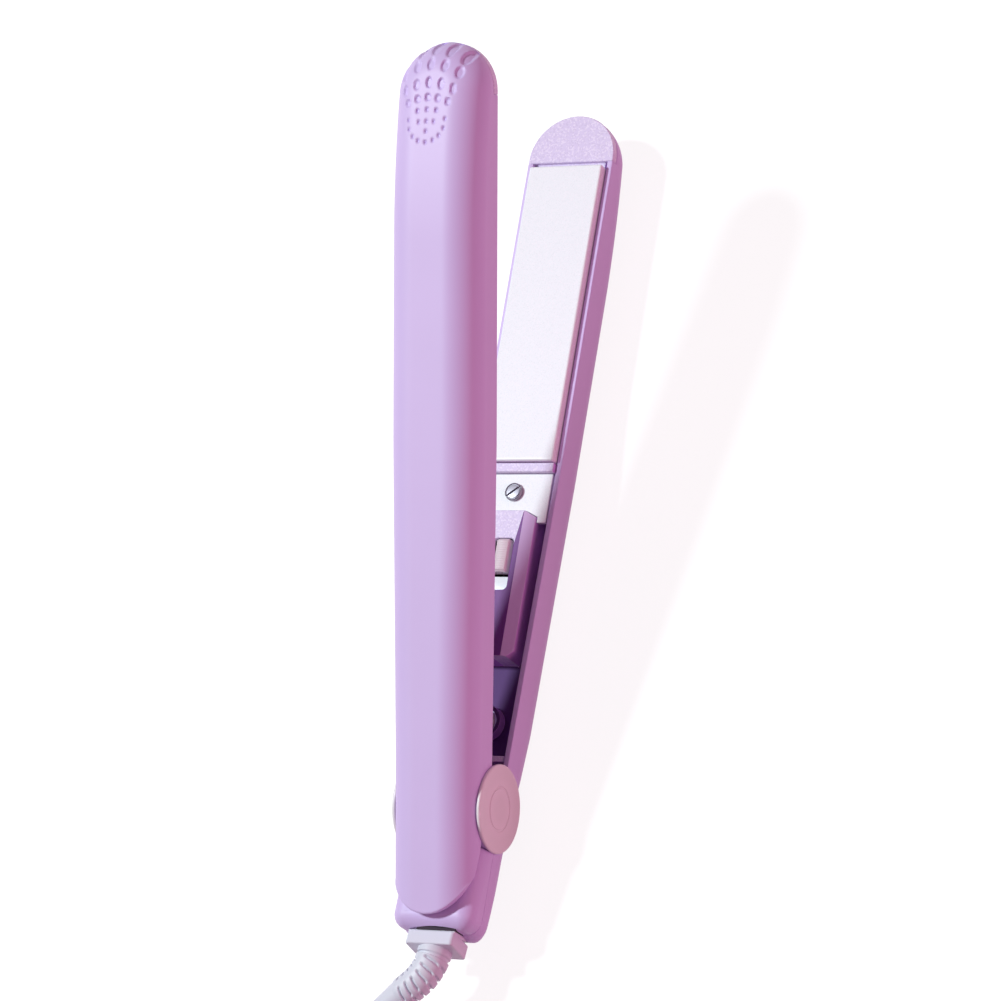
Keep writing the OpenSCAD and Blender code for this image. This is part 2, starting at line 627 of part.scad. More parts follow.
// Route of the sleeve from the collar's rear face, then of the free lead down to the hank.
sleeve_route = [[0, 0, 0], [-0.1, -1.6, 0.2], [-0.8, -3.9, 0.33], [-2.15, -6.2, 0.28], [-4.2, -8.05, 0],
    [-6.4, -9.6, -0.5], [-8.8, -11.4, -1.35], [-11.4, -13.4, -2.4], [-14.2, -15.7, -3.55]];
sleeve_start = [0, pivot_y + gland_front - gland_l * cos(tail_tilt) - gland_h / 2 * sin(tail_tilt),
    lower_depth + gland_h / 2 * (1 - cos(tail_tilt)) + gland_l * sin(tail_tilt)];
sleeve_first_dir = [0, -cos(tail_tilt), sin(tail_tilt)];
sleeve_dir = unit([-0.735, -0.62, -0.275]);
sleeve_root_r = 3.85;
sleeve_end_r = 3.15;
rib_count = 6;
rib_pitch = 1.8;
rib_cut = 0.35;
rib_from = 1.3;
ribs_end = rib_from + rib_count * rib_pitch;
function route_len(pts, i = 0) = i >= len(pts) - 1 ? 0 : norm(pts[i + 1] - pts[i]) + route_len(pts, i + 1);
// Point at distance d along a route.
function route_at(pts, d, i = 0) = let (l = norm(pts[i + 1] - pts[i]))
    d <= l || i == len(pts) - 2 ? pts[i] + (pts[i + 1] - pts[i]) * d / l : route_at(pts, d - l, i + 1);
sleeve_l = route_len(sleeve_route);
// Each rib is a groove ring and a crest ring, the smooth end follows them.
sleeve_stops = concat([[0, 0]], [for (k = [0:rib_count - 1]) each [[rib_from + k * rib_pitch, rib_cut],
    [rib_from + 0.8 + k * rib_pitch, 0]]], [[ribs_end, 0.2], [ribs_end + 3, 0.1], [sleeve_l, 0]]);
module strain_relief() color(white_plastic) tube(
    [for (s = sleeve_stops) sleeve_start + route_at(sleeve_route, s[0])],
    [for (s = sleeve_stops) sleeve_root_r + (sleeve_end_r - sleeve_root_r) * s[0] / sleeve_l - s[1]],
    8, [sleeve_first_dir, sleeve_dir]);

lead_r = lead_d / 2;
tie_t = 0.8;
hank_fold_r = 18.2;
hank_waist = 16;
hank_at = [-15, -160 - hank_run];
hank_z = lead_r + tie_t + 0.05;
// Base loop of the hank in quarters: right run, far fold, left run, near fold.
function hank_base(s) = let (q = floor(s) % 4, f = s - floor(s), y = hank_run * (2 * f - 1),
    x = hank_waist + (hank_fold_r - hank_waist) * (1 - cos(180 * y / hank_run)) / 2, a = 180 * f)
    q == 0 ? [x, y] : q == 1 ? [hank_fold_r * cos(a), hank_run + hank_fold_r * sin(a)]
    : q == 2 ? [-x, -y] : [-hank_fold_r * cos(a), -hank_run - hank_fold_r * sin(a)];
function hank_out(s) = let (t = hank_base(s + 0.01) - hank_base(s - 0.01)) unit([t[1], -t[0]]);
// The turns work in and out, and climb a layer round each turning point at a run's middle.
hank_turns = [8.5, 14.5, 20.5];
hank_start = 13 / 6;
hank_end = 24;
hank_top = hank_z + 3 * hank_pitch + lead_r + 0.05;
plug_t = 14;
plug_z = hank_top + tie_t + 0.1 + plug_t / 2;
function hank_offset(s) = hank_pitch / 4 * (s < hank_turns[0] ? hank_turns[0] - s
    : s < 11.5 ? s - hank_turns[0] : s < hank_turns[1] ? s - hank_turns[0]
    : s < hank_turns[2] ? hank_turns[2] - s : 0);
function hank_height(s) = hank_pitch
    * (smooth((s - 7.5) / 2) + smooth((s - 13.5) / 2) + smooth((s - 19.5) / 2))
    + (plug_z - hank_z - 3 * hank_pitch) * smooth((s - 22.8) / 1.2);
function hank_point(s) = let (p = hank_base(s) + hank_offset(s) * hank_out(s))
    [hank_at[0] + p[0], hank_at[1] + p[1], hank_z + hank_height(s)];
hank_tail_l = 8;
hank_pts = concat([for (i = [0:6 * (hank_end - hank_start)]) hank_point(hank_start + i / 6)],
    [hank_point(hank_end) + [0, hank_tail_l, 0]]);
// Least gap between two turns of the hank, from every point to the pieces a quarter turn on.
function to_piece(p, a, b) = let (f = clamp01((p - a) * (b - a) / ((b - a) * (b - a))))
    norm(p - a - f * (b - a));
hank_gap = min([for (i = [0:len(hank_pts) - 10], j = [i + 8:len(hank_pts) - 2])
    min(to_piece(hank_pts[i], hank_pts[j], hank_pts[j + 1]),
        to_piece((hank_pts[i] + hank_pts[i + 1]) / 2, hank_pts[j], hank_pts[j + 1]))]) - lead_d;
hank_l = route_len(hank_pts);
echo(hank_gap = hank_gap, hank_length = hank_l);
module cord_hank() color(white_plastic) tube(hank_pts, same(lead_r, len(hank_pts)), 6,
    [heading(hank_pts, 0), [0, 1, 0]]);

cord_route = [sleeve_start + sleeve_route[len(sleeve_route) - 1], [-21.2, -122.2, 7.9],
    [-27, -128.3, 6.3], [-33, -135.3, 5], [-38.6, -143.2, 4.2], [-42.7, -151.8, 3.9],
    [-44.1, -161, hank_z], hank_point(hank_start)];
module power_cord() color(white_plastic) tube(cord_route, same(lead_r, len(cord_route)), 8,
    [sleeve_dir, heading(hank_pts, 0)]);

tie_left = hank_waist + 1.5 * hank_pitch + lead_r + 0.8;
tie_right = hank_waist + hank_pitch + lead_r + 0.8;
module tie_outline(t) translate([(tie_right - tie_left) / 2, (hank_top + tie_t) / 2])
    round_rect(tie_left + tie_right + 2 * t, hank_top - tie_t + 2 * t, 3.2 + t);
module hank_tie() color(lavender) translate([hank_at[0], hank_at[1] + 5, 0]) rotate([90, 0, 0])
    linear_extrude(10) difference() {
        tie_outline(tie_t);
        tie_outline(0);
    }

plug_at = hank_point(hank_end) + [0, hank_tail_l, 0];
plug_w = 22;
plug_l = 36;
module plug_body() color(white_plastic) translate(plug_at) {
    hull() {
        along_y(14, plug_l) round_rect(plug_w, plug_t, 3, $fn = 32);
        along_y(9, 10) round_rect(13, 11, 3, $fn = 32);
    }
    along_y(0, 9.5) circle(r = 4.6);
}
module plug_pins() color(steel) translate(plug_at) for (s = [-1, 1])
    translate([s * 6.35 - 0.75, plug_l, -3.1]) cube([1.5, 17, 6.2]);

// ---------------------------------------------------------------- drawing

lower_outer_shell();
lower_inner_frame();
lower_heating_plate();
lower_heater_element();
lower_heater_clamp();
lower_plate_carrier();
lower_plate_retainer();
lower_retainer_screw();
thermal_fuse();
circuit_board();
switch_body();
lower_leads();
rear_cover();
rear_cover_screws();
hinge_pin();
hinge_cap_left();
hinge_cap_right();
return_spring();
cord_gland();
strain_relief();
power_cord();
cord_hank();
hank_tie();
plug_body();
plug_pins();
switch_slider();
upper_outer_shell();
upper_inner_frame();
upper_heating_plate();
upper_heater_element();
upper_heater_clamp();
upper_plate_carrier();
upper_plate_retainer();
upper_retainer_screw();
upper_frame_screws();
upper_leads();
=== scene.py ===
from math import ceil, cos, hypot, pi, radians, sin, sqrt

import bpy
import bmesh
from mathutils import Matrix, Vector


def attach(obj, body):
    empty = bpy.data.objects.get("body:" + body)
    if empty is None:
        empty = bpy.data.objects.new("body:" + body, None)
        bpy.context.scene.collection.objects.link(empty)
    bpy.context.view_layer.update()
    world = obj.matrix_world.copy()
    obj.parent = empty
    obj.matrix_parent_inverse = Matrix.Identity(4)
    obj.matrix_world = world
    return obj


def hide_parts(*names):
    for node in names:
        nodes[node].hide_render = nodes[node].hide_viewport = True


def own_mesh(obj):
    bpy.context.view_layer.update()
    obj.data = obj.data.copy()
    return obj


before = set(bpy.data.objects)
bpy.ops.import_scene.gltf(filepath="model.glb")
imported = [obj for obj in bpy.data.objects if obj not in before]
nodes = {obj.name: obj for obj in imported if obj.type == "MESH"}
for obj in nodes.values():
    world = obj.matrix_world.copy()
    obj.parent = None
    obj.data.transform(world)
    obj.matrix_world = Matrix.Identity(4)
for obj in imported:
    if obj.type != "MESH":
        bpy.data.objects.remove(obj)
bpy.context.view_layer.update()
scene = bpy.context.scene
print("frame loaded:", len(nodes), "nodes")

# Lengths are millimetres while a piece is modelled and metres once it is finished.
# An arm has its own frame: hinge axis at the origin, tip at +Y, outer face at +Z.
hinge = {"y": -68.2, "z": 15.2, "openAngle": 20.0, "rim": 13.2}
millimetre = 0.001
weldGap = 0.0005  # vertices closer than this, in millimetres, are one
toMetres = Matrix.Scale(millimetre, 4)
pivotPlace = Matrix.Translation((0, hinge["y"], hinge["z"]))
onLowerArm = pivotPlace @ Matrix.Scale(-1, 4, (0, 0, 1))
onUpperArm = pivotPlace @ Matrix.Rotation(radians(hinge["openAngle"]), 4, "X")
onRim = Matrix.Translation((0, hinge["y"], hinge["rim"]))
onBench = Matrix.Identity(4)


def tone(r, g, b):
    return tuple(((c / 255 + 0.055) / 1.055) ** 2.4 for c in (r, g, b)) + (1.0,)


def clamp01(v):
    return min(max(v, 0.0), 1.0)


def ease(v):
    v = clamp01(v)
    return v * v * (3 - 2 * v)


def steps(first, last, size):
    count = max(1, ceil(abs(last - first) / size - 1e-6))
    return [first + (last - first) * i / count for i in range(count + 1)]


def slopeOf(degrees):
    return sin(radians(degrees)) / cos(radians(degrees))


# Camera.

view = {"place": (466.53, -313.82, 865.44), "lens": 163.26, "sensor": 36, "near": 0.05, "far": 20,
        "right": (0.888586, 0.159830, -0.429964),
        "up": (0.000700, 0.936860, 0.349705),
        "back": (0.458709, -0.311044, 0.832369)}


def makeCamera():
    camera = bpy.data.objects.new("camera", bpy.data.cameras.new("camera"))
    scene.collection.objects.link(camera)
    turn = Matrix((view["right"], view["up"], view["back"])).transposed()
    camera.matrix_world = Matrix.Translation(Vector(view["place"]) * millimetre) @ turn.to_4x4()
    camera.data.lens = view["lens"]
    camera.data.sensor_width = view["sensor"]
    camera.data.clip_start = view["near"]
    camera.data.clip_end = view["far"]
    scene.camera = camera


makeCamera()
print("camera set")

# Surface effects.


def newGroup(name, inputs, outputs):
    tree = bpy.data.node_groups.new(name, "ShaderNodeTree")
    for label, value in inputs.items():
        kind = "NodeSocketColor" if isinstance(value, tuple) else "NodeSocketFloat"
        tree.interface.new_socket(label, in_out="INPUT", socket_type=kind).default_value = value
    for label in outputs:
        kind = "NodeSocketColor" if label == "Colour" else "NodeSocketFloat"
        tree.interface.new_socket(label, in_out="OUTPUT", socket_type=kind)
    return tree, tree.nodes.new("NodeGroupInput"), tree.nodes.new("NodeGroupOutput")


def feed(tree, socket, value):
    if isinstance(value, bpy.types.NodeSocket):
        tree.links.new(value, socket)
    else:
        socket.default_value = value


def mathNode(tree, kind, *values, clamp=False):
    node = tree.nodes.new("ShaderNodeMath")
    node.operation = kind
    node.use_clamp = clamp
    for socket, value in zip(node.inputs, values):
        feed(tree, socket, value)
    return node.outputs[0]


def mixNode(tree, factor, first, second, blend="MIX"):
    node = tree.nodes.new("ShaderNodeMix")
    node.data_type = "RGBA"
    node.blend_type = blend
    for socket, value in zip((node.inputs[0], node.inputs[6], node.inputs[7]), (factor, first, second)):
        feed(tree, socket, value)
    return node.outputs[2]


def onObject(tree, kind, scale):
    node = tree.nodes.new(kind)
    place = tree.nodes.new("ShaderNodeTexCoord")
    tree.links.new(place.outputs["Object"], node.inputs["Vector"])
    feed(tree, node.inputs["Scale"], scale)
    return node


def noiseNode(tree, scale, detail=2.0):
    node = onObject(tree, "ShaderNodeTexNoise", scale)
    node.inputs["Detail"].default_value = detail
    return node.outputs["Fac"]


# Cloud and fine noise are the plastic's own tone and roughness. Edges with high pointiness are mixed toward
# near-white by the Edge Light amount: a painted highlight.
grainAndHighlight = {"cloudScale": 60.0, "cloudDetail": 3.0, "highlightFrom": 0.52, "highlightGain": 12.0,
         "highlightColour": (1.0, 0.97, 1.0, 1.0)}


def makeGrainAndHighlight():
    tree, start, end = newGroup(
        "grainAndEdgeHighlight",
        {"Colour": (0.8, 0.8, 0.8, 1), "Cloud": 0.03, "Roughness": 0.4, "Roughness Change": 0.05,
         "Grain Scale": 4000.0, "Edge Light": 0.0},
        ("Colour", "Roughness", "Height"))
    given = start.outputs
    cloud = mathNode(tree, "SUBTRACT", noiseNode(tree, grainAndHighlight["cloudScale"], grainAndHighlight["cloudDetail"]), 0.5)
    swing = mathNode(tree, "MULTIPLY_ADD", cloud, given["Cloud"], 1.0)
    shaded = mixNode(tree, 1.0, given["Colour"], swing, "MULTIPLY")
    shape = tree.nodes.new("ShaderNodeNewGeometry")
    # Painted highlight: the sharper an edge, the more its colour turns near-white.
    past = mathNode(tree, "SUBTRACT", shape.outputs["Pointiness"], grainAndHighlight["highlightFrom"])
    edge = mathNode(tree, "MULTIPLY", mathNode(tree, "MULTIPLY", past, grainAndHighlight["highlightGain"], clamp=True),
                    given["Edge Light"])
    feed(tree, end.inputs["Colour"], mixNode(tree, edge, shaded, grainAndHighlight["highlightColour"]))
    fine = noiseNode(tree, given["Grain Scale"])
    feed(tree, end.inputs["Roughness"], mathNode(tree, "MULTIPLY_ADD", mathNode(tree, "SUBTRACT", fine, 0.5),
                                                 given["Roughness Change"], given["Roughness"]))
    feed(tree, end.inputs["Height"], fine)
    return tree


sparkle = {"brightFrom": 0.72, "darkFrom": 0.8, "darkColour": (0.25, 0.2, 0.3, 1.0), "roughSwing": -0.12,
           "cellHeight": 0.6, "noiseScale": 3000.0}


def makeSparkle():
    tree, start, end = newGroup(
        "mouldedSparkle",
        {"Colour": (0.8, 0.8, 0.8, 1), "Fleck Colour": (1.0, 1.0, 1.0, 1.0), "Fleck Amount": 0.3,
         "Dark Amount": 0.1, "Roughness": 0.4, "Fleck Scale": 2500.0},
        ("Colour", "Roughness", "Height"))
    given = start.outputs
    cells = onObject(tree, "ShaderNodeTexVoronoi", given["Fleck Scale"])
    split = tree.nodes.new("ShaderNodeSeparateColor")
    feed(tree, split.inputs[0], cells.outputs["Color"])
    first, second, third = split.outputs[:3]
    bright = mathNode(tree, "MULTIPLY", mathNode(tree, "GREATER_THAN", first, sparkle["brightFrom"]),
                      given["Fleck Amount"])
    dark = mathNode(tree, "MULTIPLY", mathNode(tree, "GREATER_THAN", second, sparkle["darkFrom"]),
                    given["Dark Amount"])
    lit = mixNode(tree, bright, given["Colour"], given["Fleck Colour"])
    feed(tree, end.inputs["Colour"], mixNode(tree, dark, lit, sparkle["darkColour"]))
    feed(tree, end.inputs["Roughness"],
         mathNode(tree, "MULTIPLY_ADD", third, sparkle["roughSwing"], given["Roughness"]))
    feed(tree, end.inputs["Height"],
         mathNode(tree, "MULTIPLY_ADD", first, sparkle["cellHeight"], noiseNode(tree, sparkle["noiseScale"])))
    return tree


effects = {"grainAndHighlight": makeGrainAndHighlight(), "sparkle": makeSparkle()}
bumpReach = 0.0001


def makeFinish(name, effect, colour, relief, values, shader=None):
    finish = bpy.data.materials.new(name)
    finish.use_nodes = True
    tree = finish.node_tree
    surface = tree.nodes["Principled BSDF"]
    pattern = tree.nodes.new("ShaderNodeGroup")
    pattern.node_tree = effects[effect]
    pattern.inputs["Colour"].default_value = tone(*colour)
    for label, value in values.items():
        pattern.inputs[label].default_value = value
    bump = tree.nodes.new("ShaderNodeBump")
    bump.inputs["Strength"].default_value = relief
    bump.inputs["Distance"].default_value = bumpReach
    feed(tree, surface.inputs["Base Color"], pattern.outputs["Colour"])
    feed(tree, surface.inputs["Roughness"], pattern.outputs["Roughness"])
    feed(tree, bump.inputs["Height"], pattern.outputs["Height"])
    feed(tree, surface.inputs["Normal"], bump.outputs["Normal"])
    for label, value in (shader or {}).items():
        surface.inputs[label].default_value = value
    return finish


metal = {"Metallic": 1.0}
finishTable = {
    "casing": ("casingMoulding", "grainAndHighlight", (211, 191, 236), 0.1,
               {"Cloud": 0.05, "Roughness": 0.5, "Roughness Change": 0.1, "Grain Scale": 5000.0},
               {"Coat Weight": 0.04, "Coat Roughness": 0.4}),
    # The next four finishes are painted shade: the lavender plastic darker and more purple on walls deep in
    # the channel and inside the shells, on deep floors, on the switch block's sloped sides, and where the
    # upper arm's shadow falls on the switch housing.
    "paintedShade": ("paintedWallShade", "grainAndHighlight", (206, 158, 226), 0.15,
               {"Cloud": 0.08, "Roughness": 0.6, "Grain Scale": 3000.0}),
    # Painted shade for the deep floors of the channel, the darkest of the four.
    "floorShade": ("paintedFloorShade", "grainAndHighlight", (86, 38, 116), 0.15,
               {"Cloud": 0.08, "Roughness": 0.65, "Grain Scale": 3000.0}),
    # Painted shade for the switch block's sloped sides, which face away from the key lamp.
    "slopeShade": ("paintedSlopeShade", "grainAndHighlight", (206, 180, 222), 0.15,
              {"Cloud": 0.06, "Roughness": 0.5, "Grain Scale": 3000.0}),
    # Painted shadow of the upper arm on the top of the switch housing.
    "paintedShadow": ("paintedArmShadow", "grainAndHighlight", (112, 50, 138), 0.15,
              {"Cloud": 0.06, "Roughness": 0.5, "Grain Scale": 3000.0}),
    # Near-black painted shade for the slit over the cord collar.
    "slitShade": ("paintedSlitShade", "grainAndHighlight", (44, 22, 48), 0.1,
             {"Cloud": 0.1, "Roughness": 0.7, "Grain Scale": 3000.0}),
    "inner": ("innerMoulding", "sparkle", (219, 208, 239), 0.2,
              {"Fleck Colour": tone(244, 236, 254), "Fleck Amount": 0.5, "Dark Amount": 0.1,
               "Roughness": 0.5, "Fleck Scale": 3000.0}),
    "plate": ("plateCoating", "sparkle", (241, 247, 250), 0.08,
              {"Fleck Colour": tone(252, 251, 255), "Fleck Amount": 0.4, "Dark Amount": 0.025,
               "Roughness": 0.38, "Fleck Scale": 5000.0}),
    # Cap, pale and knob plastics carry a painted highlight on their sharp edges through Edge Light.
    "cap": ("capPlastic", "grainAndHighlight", (228, 226, 226), 0.06,
            {"Cloud": 0.03, "Roughness": 0.4, "Edge Light": 0.6}),
    "pale": ("palePlastic", "grainAndHighlight", (215, 219, 232), 0.08,
             {"Cloud": 0.04, "Roughness": 0.42, "Edge Light": 0.25}),
    "knob": ("knobPlastic", "grainAndHighlight", (218, 202, 210), 0.08,
             {"Cloud": 0.04, "Roughness": 0.45, "Edge Light": 0.3}),
    "lead": ("leadCover", "grainAndHighlight", (216, 220, 231), 0.12,
             {"Cloud": 0.06, "Roughness": 0.46, "Grain Scale": 2500.0}),
    "steel": ("brightSteel", "grainAndHighlight", (205, 206, 212), 0.06,
              {"Cloud": 0.12, "Roughness": 0.3, "Roughness Change": 0.2}, metal),
    "screw": ("screwSteel", "grainAndHighlight", (160, 158, 170), 0.08,
              {"Cloud": 0.15, "Roughness": 0.42, "Roughness Change": 0.2}, {"Metallic": 0.7}),
    "brass": ("pinMetal", "grainAndHighlight", (214, 208, 196), 0.05,
              {"Cloud": 0.1, "Roughness": 0.28, "Roughness Change": 0.2}, metal),
    "resin": ("darkResin", "grainAndHighlight", (52, 48, 56), 0.2, {"Cloud": 0.15, "Roughness": 0.55}),
    "film": ("heaterFilm", "grainAndHighlight", (186, 128, 60), 0.1,
             {"Cloud": 0.2, "Roughness": 0.35, "Grain Scale": 1500.0}),
    "board": ("circuitBoard", "grainAndHighlight", (44, 104, 72), 0.1,
              {"Cloud": 0.2, "Roughness": 0.4, "Grain Scale": 1200.0}),
    "wire": ("wireCover", "grainAndHighlight", (236, 230, 214), 0.1, {"Cloud": 0.06, "Roughness": 0.45}),
    "tie": ("tieRubber", "grainAndHighlight", (186, 164, 214), 0.2,
            {"Cloud": 0.08, "Roughness": 0.6, "Grain Scale": 2000.0}),
}
finishes = {key: makeFinish(*values) for key, values in finishTable.items()}
# Finishes of painted shade; a face's number 1 to 4 picks one of them.
paintedShadeFinishes = ("paintedShade", "floorShade", "slopeShade", "paintedShadow")  # what a face's number 1 to 4 stands for
print("finishes made:", len(finishes))

# Shared modelling steps.

bevelFrom = 38  # degrees between two faces from which their edge is softened


def faceOutwards(bm):
    bmesh.ops.recalc_face_normals(bm, faces=bm.faces)
    if bm.calc_volume(signed=True) < 0:
        bmesh.ops.reverse_faces(bm, faces=bm.faces)


def finishPiece(name, bm, place, body, finish, replaced=(), sharp=35, bevel=0.0, weighted=False,
                paintedShade=None):
    bmesh.ops.remove_doubles(bm, verts=bm.verts, dist=weldGap)
    faceOutwards(bm)
    # A face test gives each face its number: 0 keeps the piece's own finish, 1 to 4 a painted-shade finish.
    for face in bm.faces:
        face.material_index = paintedShade(face.calc_center_median(), face.normal) if paintedShade else 0
    bmesh.ops.transform(bm, matrix=toMetres @ place, verts=bm.verts)
    faceOutwards(bm)
    mesh = bpy.data.meshes.new(name)
    bm.to_mesh(mesh)
    bm.free()
    mesh.materials.append(finishes[finish])
    if paintedShade:
        for shadeFinish in paintedShadeFinishes:
            mesh.materials.append(finishes[shadeFinish])
    mesh.shade_smooth()
    mesh.set_sharp_from_angle(angle=radians(sharp))
    piece = bpy.data.objects.new(name, mesh)
    scene.collection.objects.link(piece)
    if bevel:
        edges = piece.modifiers.new("softEdges", "BEVEL")
        edges.width = bevel * millimetre
        edges.segments = 2
        edges.limit_method = "ANGLE"
        edges.angle_limit = radians(bevelFrom)
        edges.use_clamp_overlap = False
        edges.miter_outer = "MITER_ARC"
    if bevel or weighted:
        piece.modifiers.new("evenNormals", "WEIGHTED_NORMAL").keep_sharp = True
    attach(piece, body)
    if replaced:
        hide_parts(*replaced)
    return piece


def combine(base, tool, kind):
    made = []
    for bm in (base, tool):
        bmesh.ops.remove_doubles(bm, verts=bm.verts, dist=weldGap)
        faceOutwards(bm)
        mesh = bpy.data.meshes.new("working")
        bm.to_mesh(mesh)
        bm.free()
        made.append(bpy.data.objects.new("working", mesh))
        scene.collection.objects.link(made[-1])
    cut = made[0].modifiers.new("cut", "BOOLEAN")
    cut.operation = kind
    cut.object = made[1]
    cut.solver = "EXACT"
    bpy.context.view_layer.update()
    result = bpy.data.meshes.new_from_object(made[0].evaluated_get(bpy.context.evaluated_depsgraph_get()))
    bm = bmesh.new()
    bm.from_mesh(result)
    for piece in made:
        old = piece.data
        bpy.data.objects.remove(piece)
        bpy.data.meshes.remove(old)
    bpy.data.meshes.remove(result)
    return bm


def loftRings(bm, rings):
    loop = bmesh.ops.create_circle(bm, segments=len(rings[0]), radius=1)["verts"]
    for vert, point in zip(loop, rings[0]):
        vert.co = point
    loops = [loop]
    for ring in rings[1:]:
        count = len(loop)
        edges = [bm.edges.get((loop[i], loop[(i + 1) % count])) for i in range(count)]
        made = bmesh.ops.extrude_edge_only(bm, edges=edges)["geom"]
        order = {vert: i for i, vert in enumerate(loop)}
        loop = [None] * count
        for vert in made:
            if isinstance(vert, bmesh.types.BMVert):
                for edge in vert.link_edges:
                    i = order.get(edge.other_vert(vert))
                    if i is not None:
                        vert.co = ring[i]
                        loop[i] = vert
        loops.append(loop)
    return loops


def addBox(bm, low, high, bevel=0.0, segments=2):
    verts = bmesh.ops.create_cube(bm, size=1)["verts"]
    bmesh.ops.scale(bm, vec=Vector(high) - Vector(low), verts=verts)
    bmesh.ops.translate(bm, vec=(Vector(high) + Vector(low)) / 2, verts=verts)
    if bevel:
        edges = list({e for v in verts for e in v.link_edges})
        bmesh.ops.bevel(bm, geom=edges, offset=bevel, segments=segments, profile=0.5, affect="EDGES",
                        material=-1)


def addRod(bm, radius, start, end, segments=64):
    start, end = Vector(start), Vector(end)
    axis = end - start
    made = bmesh.ops.create_cone(bm, cap_ends=True, segments=segments, radius1=radius, radius2=radius,
                                 depth=axis.length)["verts"]
    turn = axis.to_track_quat("Z", "Y").to_matrix().to_4x4()
    bmesh.ops.transform(bm, matrix=Matrix.Translation((start + end) / 2) @ turn, verts=made)


# How far a copied CAD mesh is cleaned, in millimetres and degrees.
copyClean = {"weld": 0.002, "speck": 0.001, "flat": 1.0, "cut": 0.001}


def dressCopy(nodeName, name, finish, body, bevel=0.2, sharp=35, paintedShade=None, cuts=()):
    bm = bmesh.new()
    bm.from_mesh(nodes[nodeName].data)
    bmesh.ops.scale(bm, vec=(1 / millimetre,) * 3, verts=bm.verts)
    bmesh.ops.remove_doubles(bm, verts=bm.verts, dist=copyClean["weld"])
    bmesh.ops.dissolve_degenerate(bm, edges=bm.edges, dist=copyClean["speck"])
    bmesh.ops.dissolve_limit(bm, angle_limit=radians(copyClean["flat"]), verts=bm.verts, edges=bm.edges)
    for place, across in cuts:
        bmesh.ops.bisect_plane(bm, geom=bm.verts[:] + bm.edges[:] + bm.faces[:], dist=copyClean["cut"],
                               plane_co=place, plane_no=across)
    finishPiece(name, bm, onBench, body, finish, [nodeName], sharp, bevel, paintedShade=paintedShade)


def smoothRoute(points, size):
    pts = [Vector(p) for p in points]
    ends = [2 * pts[0] - pts[1]] + pts + [2 * pts[-1] - pts[-2]]
    route = []
    for i in range(len(pts) - 1):
        a, b, c, d = ends[i:i + 4]
        count = max(1, ceil((c - b).length / size))
        for k in range(count):
            t = k / count
            route.append(0.5 * (2 * b + (c - a) * t + (2 * a - 5 * b + 4 * c - d) * t * t
                                + (3 * b - a - 3 * c + d) * t ** 3))
    return route + [pts[-1]]


def routeLength(points):
    return sum((b - a).length for a, b in zip(points, points[1:]))


def sweepTube(bm, points, radius, sides, firstHeading=None, lastHeading=None):
    rings = []
    count = len(points)
    for i, point in enumerate(points):
        heading = (points[min(i + 1, count - 1)] - points[max(i - 1, 0)]).normalized()
        if i == 0 and firstHeading:
            heading = Vector(firstHeading).normalized()
        if i == count - 1 and lastHeading:
            heading = Vector(lastHeading).normalized()
        side = Vector((heading.y, -heading.x, 0)).normalized()
        rise = side.cross(heading)
        rings.append([point + radius(i, k) * (cos(2 * pi * k / sides) * side + sin(2 * pi * k / sides) * rise)
                      for k in range(sides)])
    rings.insert(0, [points[0]] * sides)
    rings.append([points[-1]] * sides)
    loftRings(bm, rings)


# Arm shells.

arm = {"tipReach": 168.0, "tailReach": 28.2, "tipWidth": 21.8, "hingeWidth": 20.0, "lowerDepth": 13.2,
       "upperDepth": 12.8, "rimDrop": 2.0, "wall": 1.4, "edgeRadius": 7.2, "tipThin": 4.4,
       "narrowFrom": 80.0, "narrowTo": 10.0, "thinFrom": 125.0, "padStart": 156.15, "padSeat": 4.02,
       "lip": 0.3, "lipEase": 0.3}
tail = {"from": 22.0, "span": 58.0, "drop": 8.3, "corner": 3.4, "edge": 3.8, "edgeSpan": 22.0, "tilt": 20.0}
cover = {"height": 6.0, "edge": 3.4, "sideEdge": 5.2, "lip": 0.15, "coreFoot": -1.0, "screwX": 4.6,
         "screwY": -17.0, "post": 2.2, "bore": 1.12, "boreTop": 4.7, "seat": 1.9, "seatDepth": 1.4,
         "postFoot": -2, "boreFoot": -1}
tongue = {"halfWidth": 10.9, "length": 14.9, "reach": 22.35, "lift": 4.3 / cos(radians(hinge["openAngle"])),
          "core": -8.0, "lip": 0.35, "lipFrom": -14.8, "lipSpan": 2.0, "footFrom": 10.0}
tipCentre = arm["tipReach"] - arm["tipWidth"] / 2


def halfWidth(y):
    half = arm["tipWidth"] / 2
    share = clamp01((arm["narrowFrom"] - y) / (arm["narrowFrom"] - arm["narrowTo"]))
    return half - (half - arm["hingeWidth"] / 2) * share


def tipLoss(y):
    share = max(0.0, (y - arm["thinFrom"]) / (arm["tipReach"] - arm["thinFrom"]))
    return arm["tipThin"] * share * share


def lowerDepthAt(y):
    return arm["lowerDepth"] - tipLoss(y) - tail["drop"] * ease((tail["from"] - y) / tail["span"])


def upperDepthAt(y):
    return arm["upperDepth"] - tipLoss(y)


def lowerEdgeAt(y):
    share = ease((y + tail["edgeSpan"]) / tail["edgeSpan"])
    return tail["edge"] + (arm["edgeRadius"] - tail["edge"]) * share


def coverEdgeAt(y):
    share = ease((y + arm["tailReach"]) / tail["edgeSpan"])
    return cover["edge"] + (cover["sideEdge"] - cover["edge"]) * share


def padFootAt(y):
    return arm["padSeat"] if y > arm["padStart"] else arm["rimDrop"]


def upperFootAt(y):
    return max(tongue["lift"] - slopeOf(hinge["openAngle"]) * y, padFootAt(y))


# A station is a point of the outline seen from above and the direction outwards from it.
def sideStations(ys):
    return [(halfWidth(y), y, 1.0, 0.0) for y in ys]


